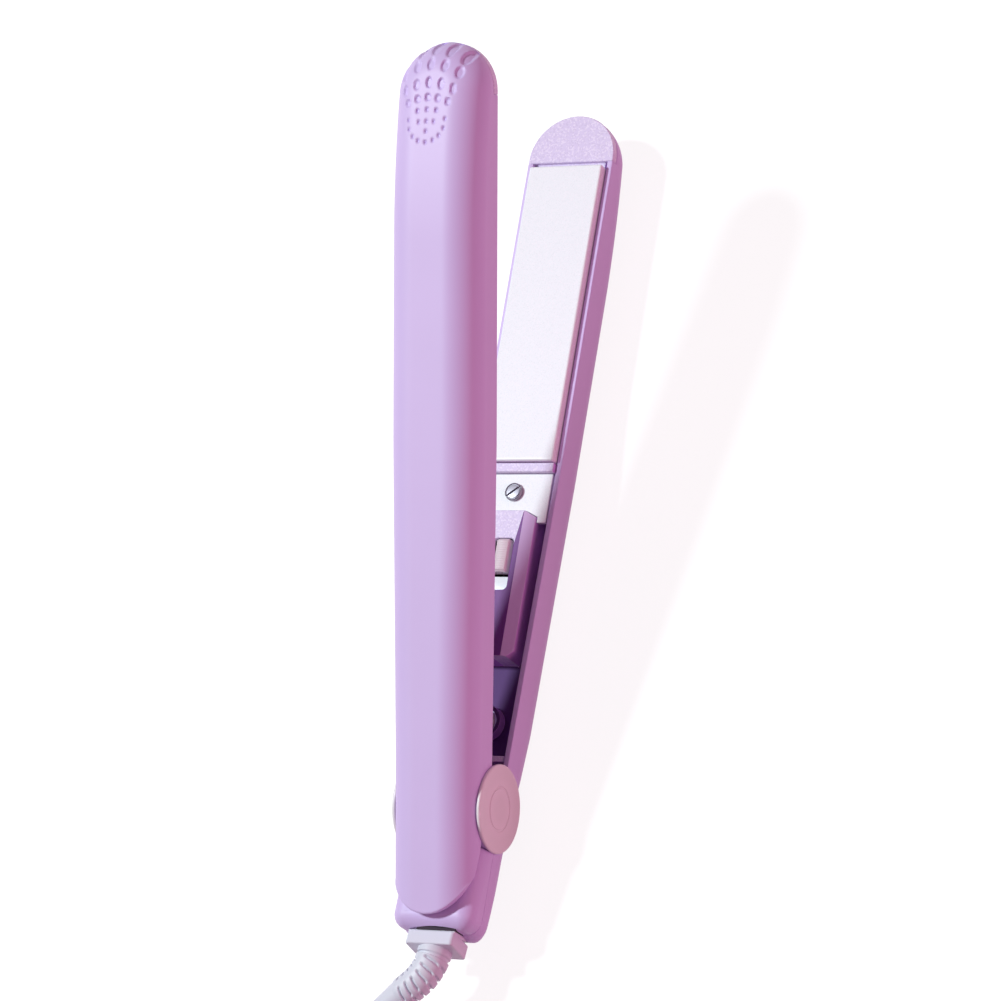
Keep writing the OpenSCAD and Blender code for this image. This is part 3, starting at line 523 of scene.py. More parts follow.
def tipStations(size):
    radius = arm["tipWidth"] / 2
    turns = [radians(a) for a in steps(0, 90, size)]
    made = [(radius * cos(a), tipCentre + radius * sin(a), cos(a), sin(a)) for a in turns]
    return made[:-1] + [(0.0, arm["tipReach"], 0.0, 1.0)]


def tailStations(size):
    radius = tail["corner"]
    half = arm["hingeWidth"] / 2
    turns = [radians(a) for a in steps(0, 90, size)]
    return [(half - radius * (1 - sin(a)), -arm["tailReach"] + radius * (1 - cos(a)), sin(a), -cos(a))
            for a in turns]


def tongueStations(size):
    middle = tongue["length"] - tongue["reach"]
    made = []
    for a in steps(90, 0, size):
        x = tongue["halfWidth"] * cos(radians(a))
        y = middle - tongue["length"] * sin(radians(a))
        if y < tongue["core"]:
            fall = max(0.0, upperFootAt(y) - (arm["rimDrop"] + upperDepthAt(y) - arm["edgeRadius"]))
            side = arm["hingeWidth"] / 2 - arm["edgeRadius"] + sqrt(arm["edgeRadius"] ** 2 - fall * fall)
            outX = x / tongue["halfWidth"] ** 2
            outY = (y - middle) / tongue["length"] ** 2
            reach = hypot(outX, outY)
            if x > side:
                made.append((side, y, 1.0, 0.0))
            else:
                made.append((max(x, 0.0), y, outX / reach, outY / reach))
    made[0] = (0.0, -tongue["reach"], 0.0, -1.0)
    return made


# Rows along the arm: far apart on the handle, close together where the tip pad's step and the dimples are.
rowGap = 0.25
armRows = steps(10, 80, 10) + steps(84, 125, 8) + steps(127, 141, 2) + [143.0]
tipRows = steps(144.5, arm["padStart"] - 0.05, rowGap) + [arm["padStart"] + 0.01]
tipRows += steps(arm["padStart"] + rowGap, tipCentre - 0.2, rowGap)
frontStations = sideStations(armRows + tipRows) + tipStations(1.25)
forms = {
    "lower": {"stations": tailStations(7.5) + sideStations(steps(-22, 6, 4)) + frontStations,
              "depth": lowerDepthAt, "edge": lowerEdgeAt, "foot": padFootAt, "base": arm["rimDrop"],
              "lean": slopeOf(tail["tilt"])},
    "upper": {"stations": tongueStations(3) + sideStations(steps(-6, 6, 2) + [7.05, 8.5]) + frontStations,
              "depth": upperDepthAt, "edge": lambda y: arm["edgeRadius"], "foot": upperFootAt,
              "base": arm["rimDrop"]},
    "cover": {"stations": tailStations(7.5) + sideStations(steps(-22, -8, 2) + [-4]),
              "depth": lambda y: cover["height"], "edge": coverEdgeAt, "foot": lambda y: 0.0, "base": 0.0},
}


def corePoint(form, y):
    rear = tongue["core"] if form is forms["upper"] else -1000.0
    return Vector((0.0, min(max(y, rear), tipCentre)))


def crownHeight(form, x, y, t):
    edge = form["edge"](y) - t
    inset = arm["hingeWidth"] / 2 - t - abs(x)
    drop = 0.0 if inset >= edge else edge - sqrt(max(0.0, edge ** 2 - (edge - max(inset, 0.0)) ** 2))
    return form["base"] + form["depth"](y) - t - drop


def planPoint(form, station, inset):
    x, y, outX, outY = station
    if form is forms["upper"] and y < tongue["core"]:
        core = corePoint(form, y)
        share = 1 - inset / (arm["hingeWidth"] / 2)
        return core + share * (Vector((x, y)) - core)
    return Vector((x - outX * inset, y - outY * inset))


def rearLean(form, station, height):
    return form.get("lean", 0.0) * max(-station[3], 0.0) * (height - form["base"])


def crownPoint(form, station, turn, t, lip=0.0, spread=0.0):
    onTongue = form is forms["upper"] and station[1] < tongue["core"]
    edge = form["edge"](station[1]) - t
    inset = max(edge * (1 - cos(turn)), lip)
    plan = planPoint(form, station, t + inset)
    if spread:
        plan = plan.lerp(corePoint(form, plan.y), spread)
    if onTongue:
        height = crownHeight(form, plan.x, plan.y, t)
    else:
        height = form["base"] + form["depth"](plan.y) - t - edge * (1 - sin(turn))
    return Vector((plan.x, plan.y - rearLean(form, station, height) * (1 - spread), height))


def wallPoint(form, station, inset, rise, t=0.0):
    plan = planPoint(form, station, inset)
    foot = form["foot"](plan.y if station[1] < tongue["footFrom"] else station[1])
    height = foot + rise
    if form is forms["upper"] and station[1] < tongue["core"]:
        height = min(height, max(foot, crownHeight(form, plan.x, plan.y, t)))
    return Vector((plan.x, plan.y - rearLean(form, station, height), height))


def closedLoop(form, points):
    left = [Vector((-p.x, p.y, p.z)) for s, p in zip(form["stations"], points) if s[0] > 1e-6]
    return points + left[::-1]


def tongueLip(station):
    return tongue["lip"] * clamp01((tongue["lipFrom"] - station[1]) / tongue["lipSpan"])


def shellRings(form, fineTurn, flatShares):
    wall, lip, soft = arm["wall"], arm["lip"], arm["lipEase"]
    rings = [[crownPoint(form, s, pi / 2, wall, spread=f) for s in form["stations"]] for f in (1.0, 0.5)]
    rings += [[crownPoint(form, s, radians(a), wall) for s in form["stations"]] for a in steps(90, 0, 11.25)]
    for inset, rise, t in ((wall, lip, wall), (wall - soft * lip, soft * lip, 0.0), (wall - lip, 0, 0.0),
                           (lip, 0, 0.0), (soft * lip, soft * lip, 0.0), (0, lip, 0.0)):
        rings.append([wallPoint(form, s, inset, rise, t) for s in form["stations"]])
    if form is forms["upper"]:
        for turn in (0, 30, 60):
            ring = []
            for s in form["stations"]:
                size = tongueLip(s)
                top = crownPoint(form, s, 0.0, 0.0, lip=size)
                plan = planPoint(form, s, size * (1 - cos(radians(turn))))
                ring.append(Vector((plan.x, plan.y, top.z - size * (1 - sin(radians(turn))))))
            rings.append(ring)
    lips = {s: tongueLip(s) if form is forms["upper"] else 0.0 for s in form["stations"]}
    outer = [[crownPoint(form, s, radians(a), 0.0, lip=lips[s]) for s in form["stations"]]
             for a in steps(0, 90, fineTurn)]
    outer += [[crownPoint(form, s, pi / 2, 0.0, spread=f) for s in form["stations"]] for f in flatShares]
    return [closedLoop(form, r) for r in rings], [closedLoop(form, r) for r in outer]


# A row of dimples: its place along the arm, its gap, how many lie to each side, their width and length.
dimples = {"shift": -0.95, "small": (0.85, 1.15), "arcRadius": 4.6, "arcCentre": 150.0,
           "arcTurns": (0, 23, -23, 45, -45, 69, -69, 95, -95),
           "single": ((0, 147.8), (0, 150), (1.85, 149.9), (-1.85, 149.9)),
           "rows": ((152.6, 2.3, 1, 1.0, 1.2), (155.3, 2.5, 2, 1.5, 1.8), (158.6, 3.0, 2, 1.5, 2.6),
                    (162.8, 3.5, 2, 1.9, 2.9), (166.6, 3.8, 2, 2.2, 3.5)),
           "bow": 0.045, "depth": 0.5, "fullWidth": 0.95, "rim": 0.4, "rimEnd": 1.12, "rimWidth": 1.6,
           "start": 144, "facing": 4}


def dimplePlaces():
    places = [(x, y) + dimples["small"] for x, y in dimples["single"]]
    for turn in dimples["arcTurns"]:
        places.append((dimples["arcRadius"] * sin(radians(turn)),
                       dimples["arcCentre"] - dimples["arcRadius"] * cos(radians(turn))) + dimples["small"])
    for y, gap, reach, wide, long in dimples["rows"]:
        for k in range(-reach, reach + 1):
            places.append((k * gap, y - dimples["bow"] * (k * gap) ** 2, wide, long))
    return [(x + dimples["shift"], y, wide, long) for x, y, wide, long in places]


def pressDimples(bm, verts):
    places = dimplePlaces()
    bm.normal_update()
    moves = []
    for vert in verts:
        x, y, z = vert.co
        facing = clamp01(vert.normal.z * dimples["facing"])
        if y < dimples["start"] or facing == 0:
            continue
        sunk = 0.0
        for cx, cy, wide, long in places:
            if abs(x - cx) < wide and abs(y - cy) < long:
                out = hypot((x - cx) / (wide / 2), (y - cy) / (long / 2))
                deep = dimples["depth"] * min(1.0, wide / dimples["fullWidth"])
                rim = (dimples["rimEnd"] - out) / dimples["rim"] / max(1.0, dimples["rimWidth"] / wide)
                sunk = max(sunk, deep * ease(rim))
        if sunk:
            moves.append((vert, vert.normal * (-sunk * facing)))
    for vert, move in moves:
        vert.co += move


def makeShell(key):
    bm = bmesh.new()
    rings, outer = shellRings(forms[key], 2.25, steps(0.06, 1.0, 0.06))
    loops = loftRings(bm, rings + outer)
    crown = [v for loop in loops[len(rings):] for v in loop]
    bmesh.ops.remove_doubles(bm, verts=bm.verts, dist=weldGap)
    faceOutwards(bm)
    pressDimples(bm, [v for v in crown if v.is_valid])
    return bm


# Where a shell's hollow starts, and how far a face's middle lies from the walls to count as inside. Faces
# inside get the painted-shade wall finish.
inside = {"lowerFrom": arm["wall"] - arm["tailReach"], "upperFrom": 4.0, "last": 143.0, "gap": 0.05,
          "rim": 0.35, "down": -0.1, "inward": -0.5}


def shellInsideShade(form, first):
    def test(centre, normal):
        wall = arm["wall"] - inside["gap"]
        if not first < centre.y < inside["last"] or centre.z < arm["rimDrop"] + inside["rim"]:
            return 0
        roof = form["base"] + form["depth"](centre.y) - wall
        if centre.z > roof or abs(centre.x) > halfWidth(centre.y) - wall:
            return 0
        return 1 if normal.z < inside["down"] or normal.x * centre.x < inside["inward"] else 0
    return test


ear = {"radius": 9.4, "bite": 9.7, "hub": 4.05, "hubFrom": 8, "through": 12, "seam": 0.005, "lugOut": 8.4,
       "lugThick": 1.6, "lugRadius": 5.5, "lugSeam": 0.01, "lugFrom": 0.5, "lugTo": 9.0, "biteSeam": 0.02,
       "pin": 1.52, "sides": 96}
# The opening round the cord collar, the arch over it and the near-black strip at its bottom, painted shade in
# the slit over the collar.
collar = {"half": 5.8, "side": 6.0, "deep": 26.6, "past": -34, "low": 4.1, "high": 4.04, "lowerFoot": -1.5,
          "coverFoot": -5, "lowerCorner": 0.6, "coverCorner": 0.4, "archAt": 1.2, "archHalf": 4.75,
          "archRise": 0.5, "archSides": 720, "archRoom": (-35, 0, -1.0, 2.0), "slitShadeLeft": -3.7,
          "slitShadeRight": 5.95, "slitShadeStart": -28.3, "slitShadeEnd": -27.0, "slitShadeLow": 0.2, "slitShadeTop": 3.95,
          "slitShadeEdge": 0.05, "rootLap": 0.05, "rootEdge": 0.3,
          "rootHalf": 5.74, "rootStart": -29.2, "rootLow": -2.6, "rootHigh": 3.8}


def makeUpperShell():
    bm = makeShell("upper")
    half = arm["hingeWidth"] / 2
    ears = bmesh.new()
    bores = bmesh.new()
    for side in (-1, 1):
        addRod(ears, ear["radius"], (side * (half - arm["wall"] + ear["seam"]), 0, 0),
               (side * (half - ear["seam"]), 0, 0), ear["sides"])
        addRod(bores, ear["hub"], (side * ear["hubFrom"], 0, 0), (side * ear["through"], 0, 0))
    bm = combine(combine(bm, ears, "UNION"), bores, "DIFFERENCE")
    finishPiece("upperShell", bm, onUpperArm, "upper_arm", "casing", ["upper_outer_shell"],
                sharp=40, weighted=True, paintedShade=shellInsideShade(forms["upper"], inside["upperFrom"]))


def makeLowerShell():
    bm = makeShell("lower")
    lugs, posts, bites, holes = (bmesh.new() for k in range(4))
    out, thick, radius, seam = ear["lugOut"], ear["lugThick"], ear["lugRadius"], ear["lugSeam"]
    for side in (-1, 1):
        addRod(lugs, radius, (side * (out - thick), 0, 0), (side * out, 0, 0))
        inner, outer = sorted((side * (out - thick + seam), side * (out - seam)))
        addBox(posts, (inner, -radius + seam, ear["lugFrom"]), (outer, radius - seam, ear["lugTo"]))
        addRod(bites, ear["bite"], (side * (out + ear["biteSeam"]), 0, 0), (side * ear["through"], 0, 0),
               ear["sides"])
    addRod(holes, ear["pin"], (-ear["through"], 0, 0), (ear["through"], 0, 0), 32)
    addBox(holes, (-collar["half"], collar["past"], collar["lowerFoot"]),
           (collar["half"], -collar["deep"], collar["low"] + arm["rimDrop"]), collar["lowerCorner"])
    bm = combine(bm, combine(lugs, posts, "UNION"), "UNION")
    bm = combine(bm, combine(bites, holes, "UNION"), "DIFFERENCE")
    finishPiece("lowerShell", bm, onLowerArm, "lower_arm", "casing", ["lower_outer_shell"],
                sharp=40, weighted=True, paintedShade=shellInsideShade(forms["lower"], inside["lowerFrom"]))


def makeCollarArch():
    rise, half, high = collar["archRise"], collar["archHalf"], collar["high"]
    bend = (half * half + rise * rise) / (2 * rise)
    x, z = collar["archAt"], high + rise - bend
    arch = bmesh.new()
    addRod(arch, bend, (x, collar["past"], z), (x, -collar["deep"], z), collar["archSides"])
    back, front, under, over = collar["archRoom"]
    room = bmesh.new()
    addBox(room, (-collar["half"], back, high + under), (collar["side"], front, high + over))
    return combine(arch, room, "INTERSECT")


def coverSolid(t, foot, lip):
    form = forms["cover"]
    soft = arm["lipEase"] * lip
    rings = [[Vector((0, s[1], foot)) for s in form["stations"]]]
    for inset, rise in ((t + lip, 0), (t + soft, soft), (t, lip)):
        plans = [planPoint(form, s, inset) for s in form["stations"]]
        rings.append([Vector((plan.x, plan.y, foot + rise)) for plan in plans])
    rings += [[crownPoint(form, s, radians(a), t) for s in form["stations"]] for a in steps(0, 90, 5)]
    rings += [[crownPoint(form, s, pi / 2, t, spread=f) for s in form["stations"]]
              for f in steps(0.2, 1, 0.2)]
    made = bmesh.new()
    loftRings(made, [closedLoop(form, r) for r in rings])
    return made


def makeRearCover():
    out, axis, top = ear["through"], arm["rimDrop"], cover["height"] + 1
    keep, posts, holes = (bmesh.new() for k in range(3))
    addRod(keep, ear["bite"] + arm["wall"], (-out, 0, axis), (out, 0, axis), ear["sides"])
    addRod(holes, ear["bite"], (-out, 0, axis), (out, 0, axis), ear["sides"])
    addBox(holes, (-collar["half"], collar["past"], collar["coverFoot"]),
           (collar["side"], -collar["deep"], collar["high"]), collar["coverCorner"])
    for side in (-1, 1):
        x, y = side * cover["screwX"], cover["screwY"]
        addRod(posts, cover["post"], (x, y, cover["postFoot"]), (x, y, top), 32)
        addRod(holes, cover["bore"], (x, y, cover["boreFoot"]), (x, y, cover["boreTop"]), 24)
        addRod(holes, cover["seat"], (x, y, cover["height"] - cover["seatDepth"]), (x, y, top), 32)
    core = combine(coverSolid(arm["wall"], cover["coreFoot"], 0.0), keep, "DIFFERENCE")
    core = combine(core, posts, "DIFFERENCE")
    bm = combine(coverSolid(0.0, 0.0, cover["lip"]), core, "DIFFERENCE")
    bm = combine(bm, holes, "DIFFERENCE")
    bm = combine(bm, makeCollarArch(), "DIFFERENCE")
    finishPiece("rearCover", bm, onRim, "lower_arm", "casing", ["rear_cover"],
                sharp=38, weighted=True)


# A near-black strip laid in the opening as painted shade, so the slit over the cord collar looks deep and
# dark.
def makeCollarShade():
    bm = bmesh.new()
    addBox(bm, (collar["slitShadeLeft"], collar["slitShadeStart"], collar["slitShadeLow"]),
           (collar["slitShadeRight"], collar["slitShadeEnd"], collar["slitShadeTop"]), collar["slitShadeEdge"])
    finishPiece("collarShadeStrip", bm, onRim, "lower_arm", "slitShade", sharp=40)


def makeCollarRoot():
    bm = bmesh.new()
    addBox(bm, (-collar["rootHalf"], collar["rootStart"], collar["rootLow"]),
           (collar["rootHalf"], collar["slitShadeStart"] + collar["rootLap"], collar["rootHigh"]),
           collar["rootEdge"])
    finishPiece("collarRoot", bm, onRim, "lower_arm", "pale", sharp=40)


makeUpperShell()
makeLowerShell()
makeRearCover()
makeCollarShade()
makeCollarRoot()
print("shells made")

# Hinge caps.

cap = {"radius": 9.84, "back": 10.1, "front": 10.85, "hub": 4.0, "hubEnd": 8.45, "bore": 1.52, "pinGap": 0.3,
       "chamfer": 0.1, "edge": 0.35, "rim": 1.0, "rimDrop": 0.03, "dishFrom": 1.6, "dish": 0.12,
       "groove": 4.75, "grooveHalf": 0.28, "grooveSpread": 1.2, "grooveDeep": 0.2, "middle": 2.0,
       "middleRise": 0.02, "centreRise": 0.03, "sides": 120}


def makeHingeCap(name, side, node):
    r, back, front, edge = cap["radius"], cap["back"], cap["front"], cap["edge"]
    floor = front - cap["dish"]
    outline = [(cap["bore"], cap["hubEnd"]), (cap["hub"], cap["hubEnd"]), (cap["hub"], back),
               (r - cap["chamfer"], back), (r, back + cap["chamfer"])]
    outline += [(r - edge * (1 - cos(radians(a))), front - edge * (1 - sin(radians(a))))
                for a in steps(0, 90, 18)]
    outline += [(r - cap["rim"], front - cap["rimDrop"]), (r - cap["dishFrom"], floor)]
    outline += [(cap["groove"] + cap["grooveHalf"] * cos(radians(a)) * cap["grooveSpread"],
                 floor - cap["grooveDeep"] * sin(radians(a))) for a in steps(0, 180, 30)]
    outline += [(cap["middle"], floor + cap["middleRise"]), (0.0, floor + cap["centreRise"]),
                (0.0, back - cap["pinGap"]), (cap["bore"], back - cap["pinGap"])]
    bm = bmesh.new()
    loop = bmesh.ops.create_circle(bm, segments=len(outline), radius=1)["verts"]
    for vert, (radius, x) in zip(loop, outline):
        vert.co = (side * x, 0, radius)
    bmesh.ops.spin(bm, geom=list(bm.edges), cent=(0, 0, 0), axis=(1, 0, 0), angle=2 * pi, steps=cap["sides"],
                   use_merge=True)
    finishPiece(name, bm, pivotPlace, "lower_arm", "cap", [node], sharp=50)


makeHingeCap("leftCap", -1, "hinge_cap_left")
makeHingeCap("rightCap", 1, "hinge_cap_right")
print("hinge caps made")

# Heating plates.

plate = {"half": 9.3, "start": 81.8, "length": 72.8, "face": 0.02, "foot": 4.17, "thick": 1.4,
         "side": 1.1, "edge": 0.5, "near": 0.001}


def makeHeatingPlate(name, place, body, node):
    half, face, near = plate["half"], plate["face"], plate["near"]
    bm = bmesh.new()
    addBox(bm, (-half, plate["start"], face), (half, plate["start"] + plate["length"], plate["foot"]))
    bmesh.ops.recalc_face_normals(bm, faces=bm.faces)
    under = max(bm.faces, key=lambda f: f.calc_center_median().z)
    bmesh.ops.inset_region(bm, faces=[under], thickness=plate["side"], depth=0)
    deepened = bmesh.ops.extrude_face_region(bm, geom=[under])["geom"]
    sunk = [v for v in deepened if isinstance(v, bmesh.types.BMVert)]
    bmesh.ops.translate(bm, vec=(0, 0, face + plate["thick"] - plate["foot"]), verts=sunk)
    bmesh.ops.delete(bm, geom=[under], context="FACES")
    border = [e for e in bm.edges if all(abs(v.co.z - face) < near for v in e.verts)]
    corners = [e for e in bm.edges if abs(abs(e.verts[0].co.x) - half) < near
               and (e.verts[0].co.xy - e.verts[1].co.xy).length < near]
    bmesh.ops.bevel(bm, geom=border + corners, offset=plate["edge"], segments=4, profile=0.5, affect="EDGES",
                    material=-1)
    finishPiece(name, bm, place, body, "plate", [node], sharp=50, weighted=True)


makeHeatingPlate("lowerPlate", onLowerArm, "lower_arm", "lower_heating_plate")
makeHeatingPlate("upperPlate", onUpperArm, "upper_arm", "upper_heating_plate")
print("heating plates made")

# Inner mouldings.

# Frame faces deeper than "from" get painted shade, floors darker than walls; sloped sides and the top under
# the upper arm get painted shade of their own.
channel = {"from": 4.7, "floorFacing": -0.5, "topFacing": -0.9, "slopeFacing": -0.3, "slopeSide": (0.3, 0.95)}
# Where the upper arm's shadow is painted on the top of the switch housing: beside these two lines and behind
# the switch.
paintedShadow = {"side": 3.65, "front": 69.14, "lean": 0.148, "back": 54.7, "level": 1.0, "near": 0.05, "end": 70.0}


# Cuts the frame along the edges of the painted shadow.
def paintedShadowCuts(place):
    turn = place.to_3x3()
    found = [(place @ Vector((0, paintedShadow["back"], 0)), turn @ Vector((0, 1, 0)))]
    for side in (-1, 1):
        found.append((place @ Vector((side * paintedShadow["side"], paintedShadow["front"], 0)),
                      turn @ Vector((side, -paintedShadow["lean"], 0))))
    return found


# True where a point of the housing top lies in the painted shadow.
def inPaintedShadow(spot):
    beside = abs(spot.x) - paintedShadow["side"] - paintedShadow["lean"] * (spot.y - paintedShadow["front"]) > 0
    return spot.y < paintedShadow["end"] and (beside or spot.y < paintedShadow["back"])


def frameShadeSlot(place):
    toArm = place.inverted()
    turnBack = toArm.to_3x3()

    # Painted shade by face: 1 deep wall, 2 deep floor, 3 sloped side, 4 top in the painted shadow, 0 the
    # frame's own colour.
    def test(centre, normal):
        spot, facing = toArm @ centre, turnBack @ normal
        if spot.z > channel["from"]:
            return 2 if facing.z < channel["floorFacing"] else 1
        if abs(spot.z - paintedShadow["level"]) < paintedShadow["near"] and facing.z < channel["topFacing"]:
            return 4 if inPaintedShadow(spot) else 0
        least, most = channel["slopeSide"]
        return 3 if least < abs(facing.x) < most and facing.z < channel["slopeFacing"] else 0
    return test


dressCopy("lower_inner_frame", "lowerFrame", "inner", "lower_arm", 0.22,
          paintedShade=frameShadeSlot(onLowerArm), cuts=paintedShadowCuts(onLowerArm))
dressCopy("upper_inner_frame", "upperFrame", "inner", "upper_arm", 0.22,
          paintedShade=frameShadeSlot(onUpperArm))
dressCopy("lower_plate_retainer", "lowerRetainer", "plate", "lower_arm", 0.15)
dressCopy("upper_plate_retainer", "upperRetainer", "plate", "upper_arm", 0.15)
dressCopy("cord_gland", "cordGland", "pale", "lower_arm", 0.25)
print("inner mouldings made")

# Screws of the plate retainers. The outline holds radii and depths below the middle of the head.

screw = {"y": 74.8, "head": 2.1, "top": 1.18, "shaft": 1.4, "seat": 1.0, "length": 10.6, "point": 0.8,
         "outline": ((0.0, 0.0), (1.0, 0.02), (1.55, 0.08), (1.63, 0.3), (1.73, 0.3), (1.81, 0.1),
                     (1.98, 0.16), (2.1, 0.3)),
         "slotPast": 0.5, "slotHalf": 0.24, "slotDeep": 0.55, "slotTurn": 38.0}


def makeScrew(name, place, body, node):
    head, shaft, top, end = screw["head"], screw["shaft"], screw["top"], screw["length"]
    outline = screw["outline"] + ((head, screw["seat"]), (shaft, screw["seat"]), (shaft, end),
                                  (0.0, end + screw["point"]))
    bm = bmesh.new()
    turns = [radians(a) for a in range(0, 360, 6)]
    loftRings(bm, [[Vector((r * cos(a), r * sin(a), top + z)) for a in turns] for r, z in outline])
    slot = bmesh.new()
    past, half = head + screw["slotPast"], screw["slotHalf"]
    addBox(slot, (-past, -half, top - screw["slotPast"]), (past, half, top + screw["slotDeep"]))
    bmesh.ops.rotate(slot, cent=(0, 0, 0), matrix=Matrix.Rotation(radians(screw["slotTurn"]), 3, "Z"),
                     verts=slot.verts)
    bm = combine(bm, slot, "DIFFERENCE")
    bmesh.ops.translate(bm, vec=(0, screw["y"], 0), verts=bm.verts)
    finishPiece(name, bm, place, body, "screw", [node], sharp=30)


makeScrew("lowerScrew", onLowerArm, "lower_arm", "lower_retainer_screw")
makeScrew("upperScrew", onUpperArm, "upper_arm", "upper_retainer_screw")
print("retainer screws made")

# Switch.

knob = {"half": 2.15, "start": 55.5, "length": 7.7, "top": 0.35, "foot": 3.1, "ribs": 12, "ribDeep": 0.07,
        "ribMargin": 0.08, "endRound": 0.45, "endShare": 0.07, "crown": 0.55, "shoulder": 1.4,
        "shoulderFrom": 1.35, "rows": 96, "columnGap": 0.14, "stemHalf": 1.2, "stemLength": 2.0,
        "stemFoot": 5.5, "stemOverlap": 0.1, "plateHalf": 3.1, "plateStart": 50.5, "plateEnd": 54.75,
        "plateTop": 2.35, "plateFoot": 3.2, "plateEdge": 0.12}


def knobTop(x, y):
    share = (y - knob["start"]) / knob["length"]
    ribbed = clamp01((share - knob["ribMargin"]) / (1 - 2 * knob["ribMargin"]))
    wave = 0.5 - 0.5 * cos(2 * pi * knob["ribs"] * ribbed)
    rounded = knob["endRound"] * (1 - ease(min(share, 1 - share) / knob["endShare"]))
    crown = knob["crown"] * (x / knob["half"]) ** 2
    crown += knob["shoulder"] * ease((abs(x) - knob["shoulderFrom"]) / (knob["half"] - knob["shoulderFrom"]))
    return knob["top"] + knob["ribDeep"] * wave + max(rounded, 0.0) + crown


def makeSwitchKnob():
    bm = bmesh.new()
    half, start, end = knob["half"], knob["start"], knob["start"] + knob["length"]
    rows = steps(start, end, knob["length"] / knob["rows"])
    rings = []
    for x in steps(-half, half, knob["columnGap"]):
        line = [Vector((x, y, knobTop(x, y))) for y in rows]
        rings.append(line + [Vector((x, end, knob["foot"])), Vector((x, start, knob["foot"]))])
    first, last = ([sum(ring, Vector()) / len(ring)] * len(ring) for ring in (rings[0], rings[-1]))
    loftRings(bm, [first] + rings + [last])
    mid = start + knob["length"] / 2
    addBox(bm, (-knob["stemHalf"], mid - knob["stemLength"] / 2, knob["foot"] - knob["stemOverlap"]),
           (knob["stemHalf"], mid + knob["stemLength"] / 2, knob["stemFoot"]))
    finishPiece("switchKnob", bm, onLowerArm, "switch_slider", "knob",
                ["switch_slider"], sharp=40)


def makeSwitchPlate():
    bm = bmesh.new()
    addBox(bm, (-knob["plateHalf"], knob["plateStart"], knob["plateTop"]),
           (knob["plateHalf"], knob["plateEnd"], knob["plateFoot"]), knob["plateEdge"])
    finishPiece("switchPlate", bm, onLowerArm, "switch_slider", "plate", sharp=40)


makeSwitchPlate()
makeSwitchKnob()
print("switch made")

# Spring and the cup it stands in.

spring = {"radius": 2.4, "wire": 0.35, "sides": 12, "turns": 8, "turnSteps": 28, "y": -46.2, "low": 6.72,
          "high": 26.36}


def makeSpring():
    bm = bmesh.new()
    count = spring["turns"] * spring["turnSteps"]
    points = []
    for i in range(count + 1):
        turn = 2 * pi * spring["turns"] * i / count
        points.append(Vector((spring["radius"] * cos(turn), spring["y"] + spring["radius"] * sin(turn),
                              spring["low"] + (spring["high"] - spring["low"]) * i / count)))
    sweepTube(bm, points, lambda i, k: spring["wire"], spring["sides"])
    piece = finishPiece("returnSpring", bm, onBench, "lower_arm", "steel", ["return_spring"], 60)
    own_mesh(piece)


springCup = {"outer": 3.4, "inner": 1.0, "low": 6.3, "high": 7.6, "edge": 0.2}


def makeSpringCup():
    outer, inner, edge = springCup["outer"], springCup["inner"], springCup["edge"]
    low, high = springCup["low"], springCup["high"]
    outline = [(inner, low), (outer, low), (outer, high - edge), (outer - edge, high), (inner, high),
               (inner, low)]
    turns = [radians(a) for a in range(0, 360, 5)]
    bm = bmesh.new()
    loftRings(bm, [[Vector((r * cos(a), spring["y"] + r * sin(a), z)) for a in turns] for r, z in outline])
    finishPiece("springCup", bm, onBench, "lower_arm", "inner", sharp=35)


makeSpring()
makeSpringCup()
print("spring made")

# Lead: sleeve, cord, hank, tie and plug.

sleeve = {"start": (0.0, -100.446, 13.816), "rootRadius": 3.85, "endRadius": 3.15, "groove": 1.45,
          "grooveHalf": 0.28, "grooveDeep": 0.42, "grooveShift": 0.4, "slotsFrom": 2.6, "slotsEnd": 11.6,
          "pitch": 1.7, "slotHalf": 0.24, "slotDeep": 0.6, "slotTurns": (118.0, 197.0),
          "slotWide": (34.0, 44.0), "slotSlant": 0.012, "slotSpan": 14, "soft": 0.2, "neck": 0.22,
          "neckSpan": 1.0, "neckTo": 14, "neckBack": 8, "sides": 96, "step": 0.1,
          "first": (0.0, -0.985, 0.174), "end": (-0.735, -0.62, -0.275),
          "route": ((0, 0, 0), (-0.1, -1.6, 0.2), (-0.8, -3.9, 0.33), (-2.15, -6.2, 0.28), (-4.2, -8.05, 0),
                    (-6.4, -9.6, -0.5), (-8.8, -11.4, -1.35), (-11.4, -13.4, -2.4), (-14.2, -15.7, -3.55))}


def sleeveRadius(along, turn, total):
    soft = sleeve["soft"]
    base = sleeve["rootRadius"] + (sleeve["endRadius"] - sleeve["rootRadius"]) * along / total
    necked = ease((along - sleeve["slotsEnd"]) / sleeve["neckSpan"])
    base -= sleeve["neck"] * necked * (1 - ease((along - sleeve["neckTo"]) / sleeve["neckBack"]))
    inGroove = (sleeve["grooveHalf"] - abs(along - sleeve["groove"])) / soft + sleeve["grooveShift"]
    cut = sleeve["grooveDeep"] * ease(inGroove)
    row, middle = 0, sleeve["slotsFrom"]
    while middle < sleeve["slotsEnd"]:
        kind = row % 2
        off = (turn * 180 / pi - sleeve["slotTurns"][kind] + 90) % 180 - 90
        across = ease((sleeve["slotHalf"] - abs(along - middle - sleeve["slotSlant"] * off)) / soft + 0.5)
        wide = ease((sleeve["slotWide"][kind] - abs(off)) / sleeve["slotSpan"])
        cut = max(cut, sleeve["slotDeep"] * across * wide)
        row += 1
        middle += sleeve["pitch"] / 2
    return base - cut


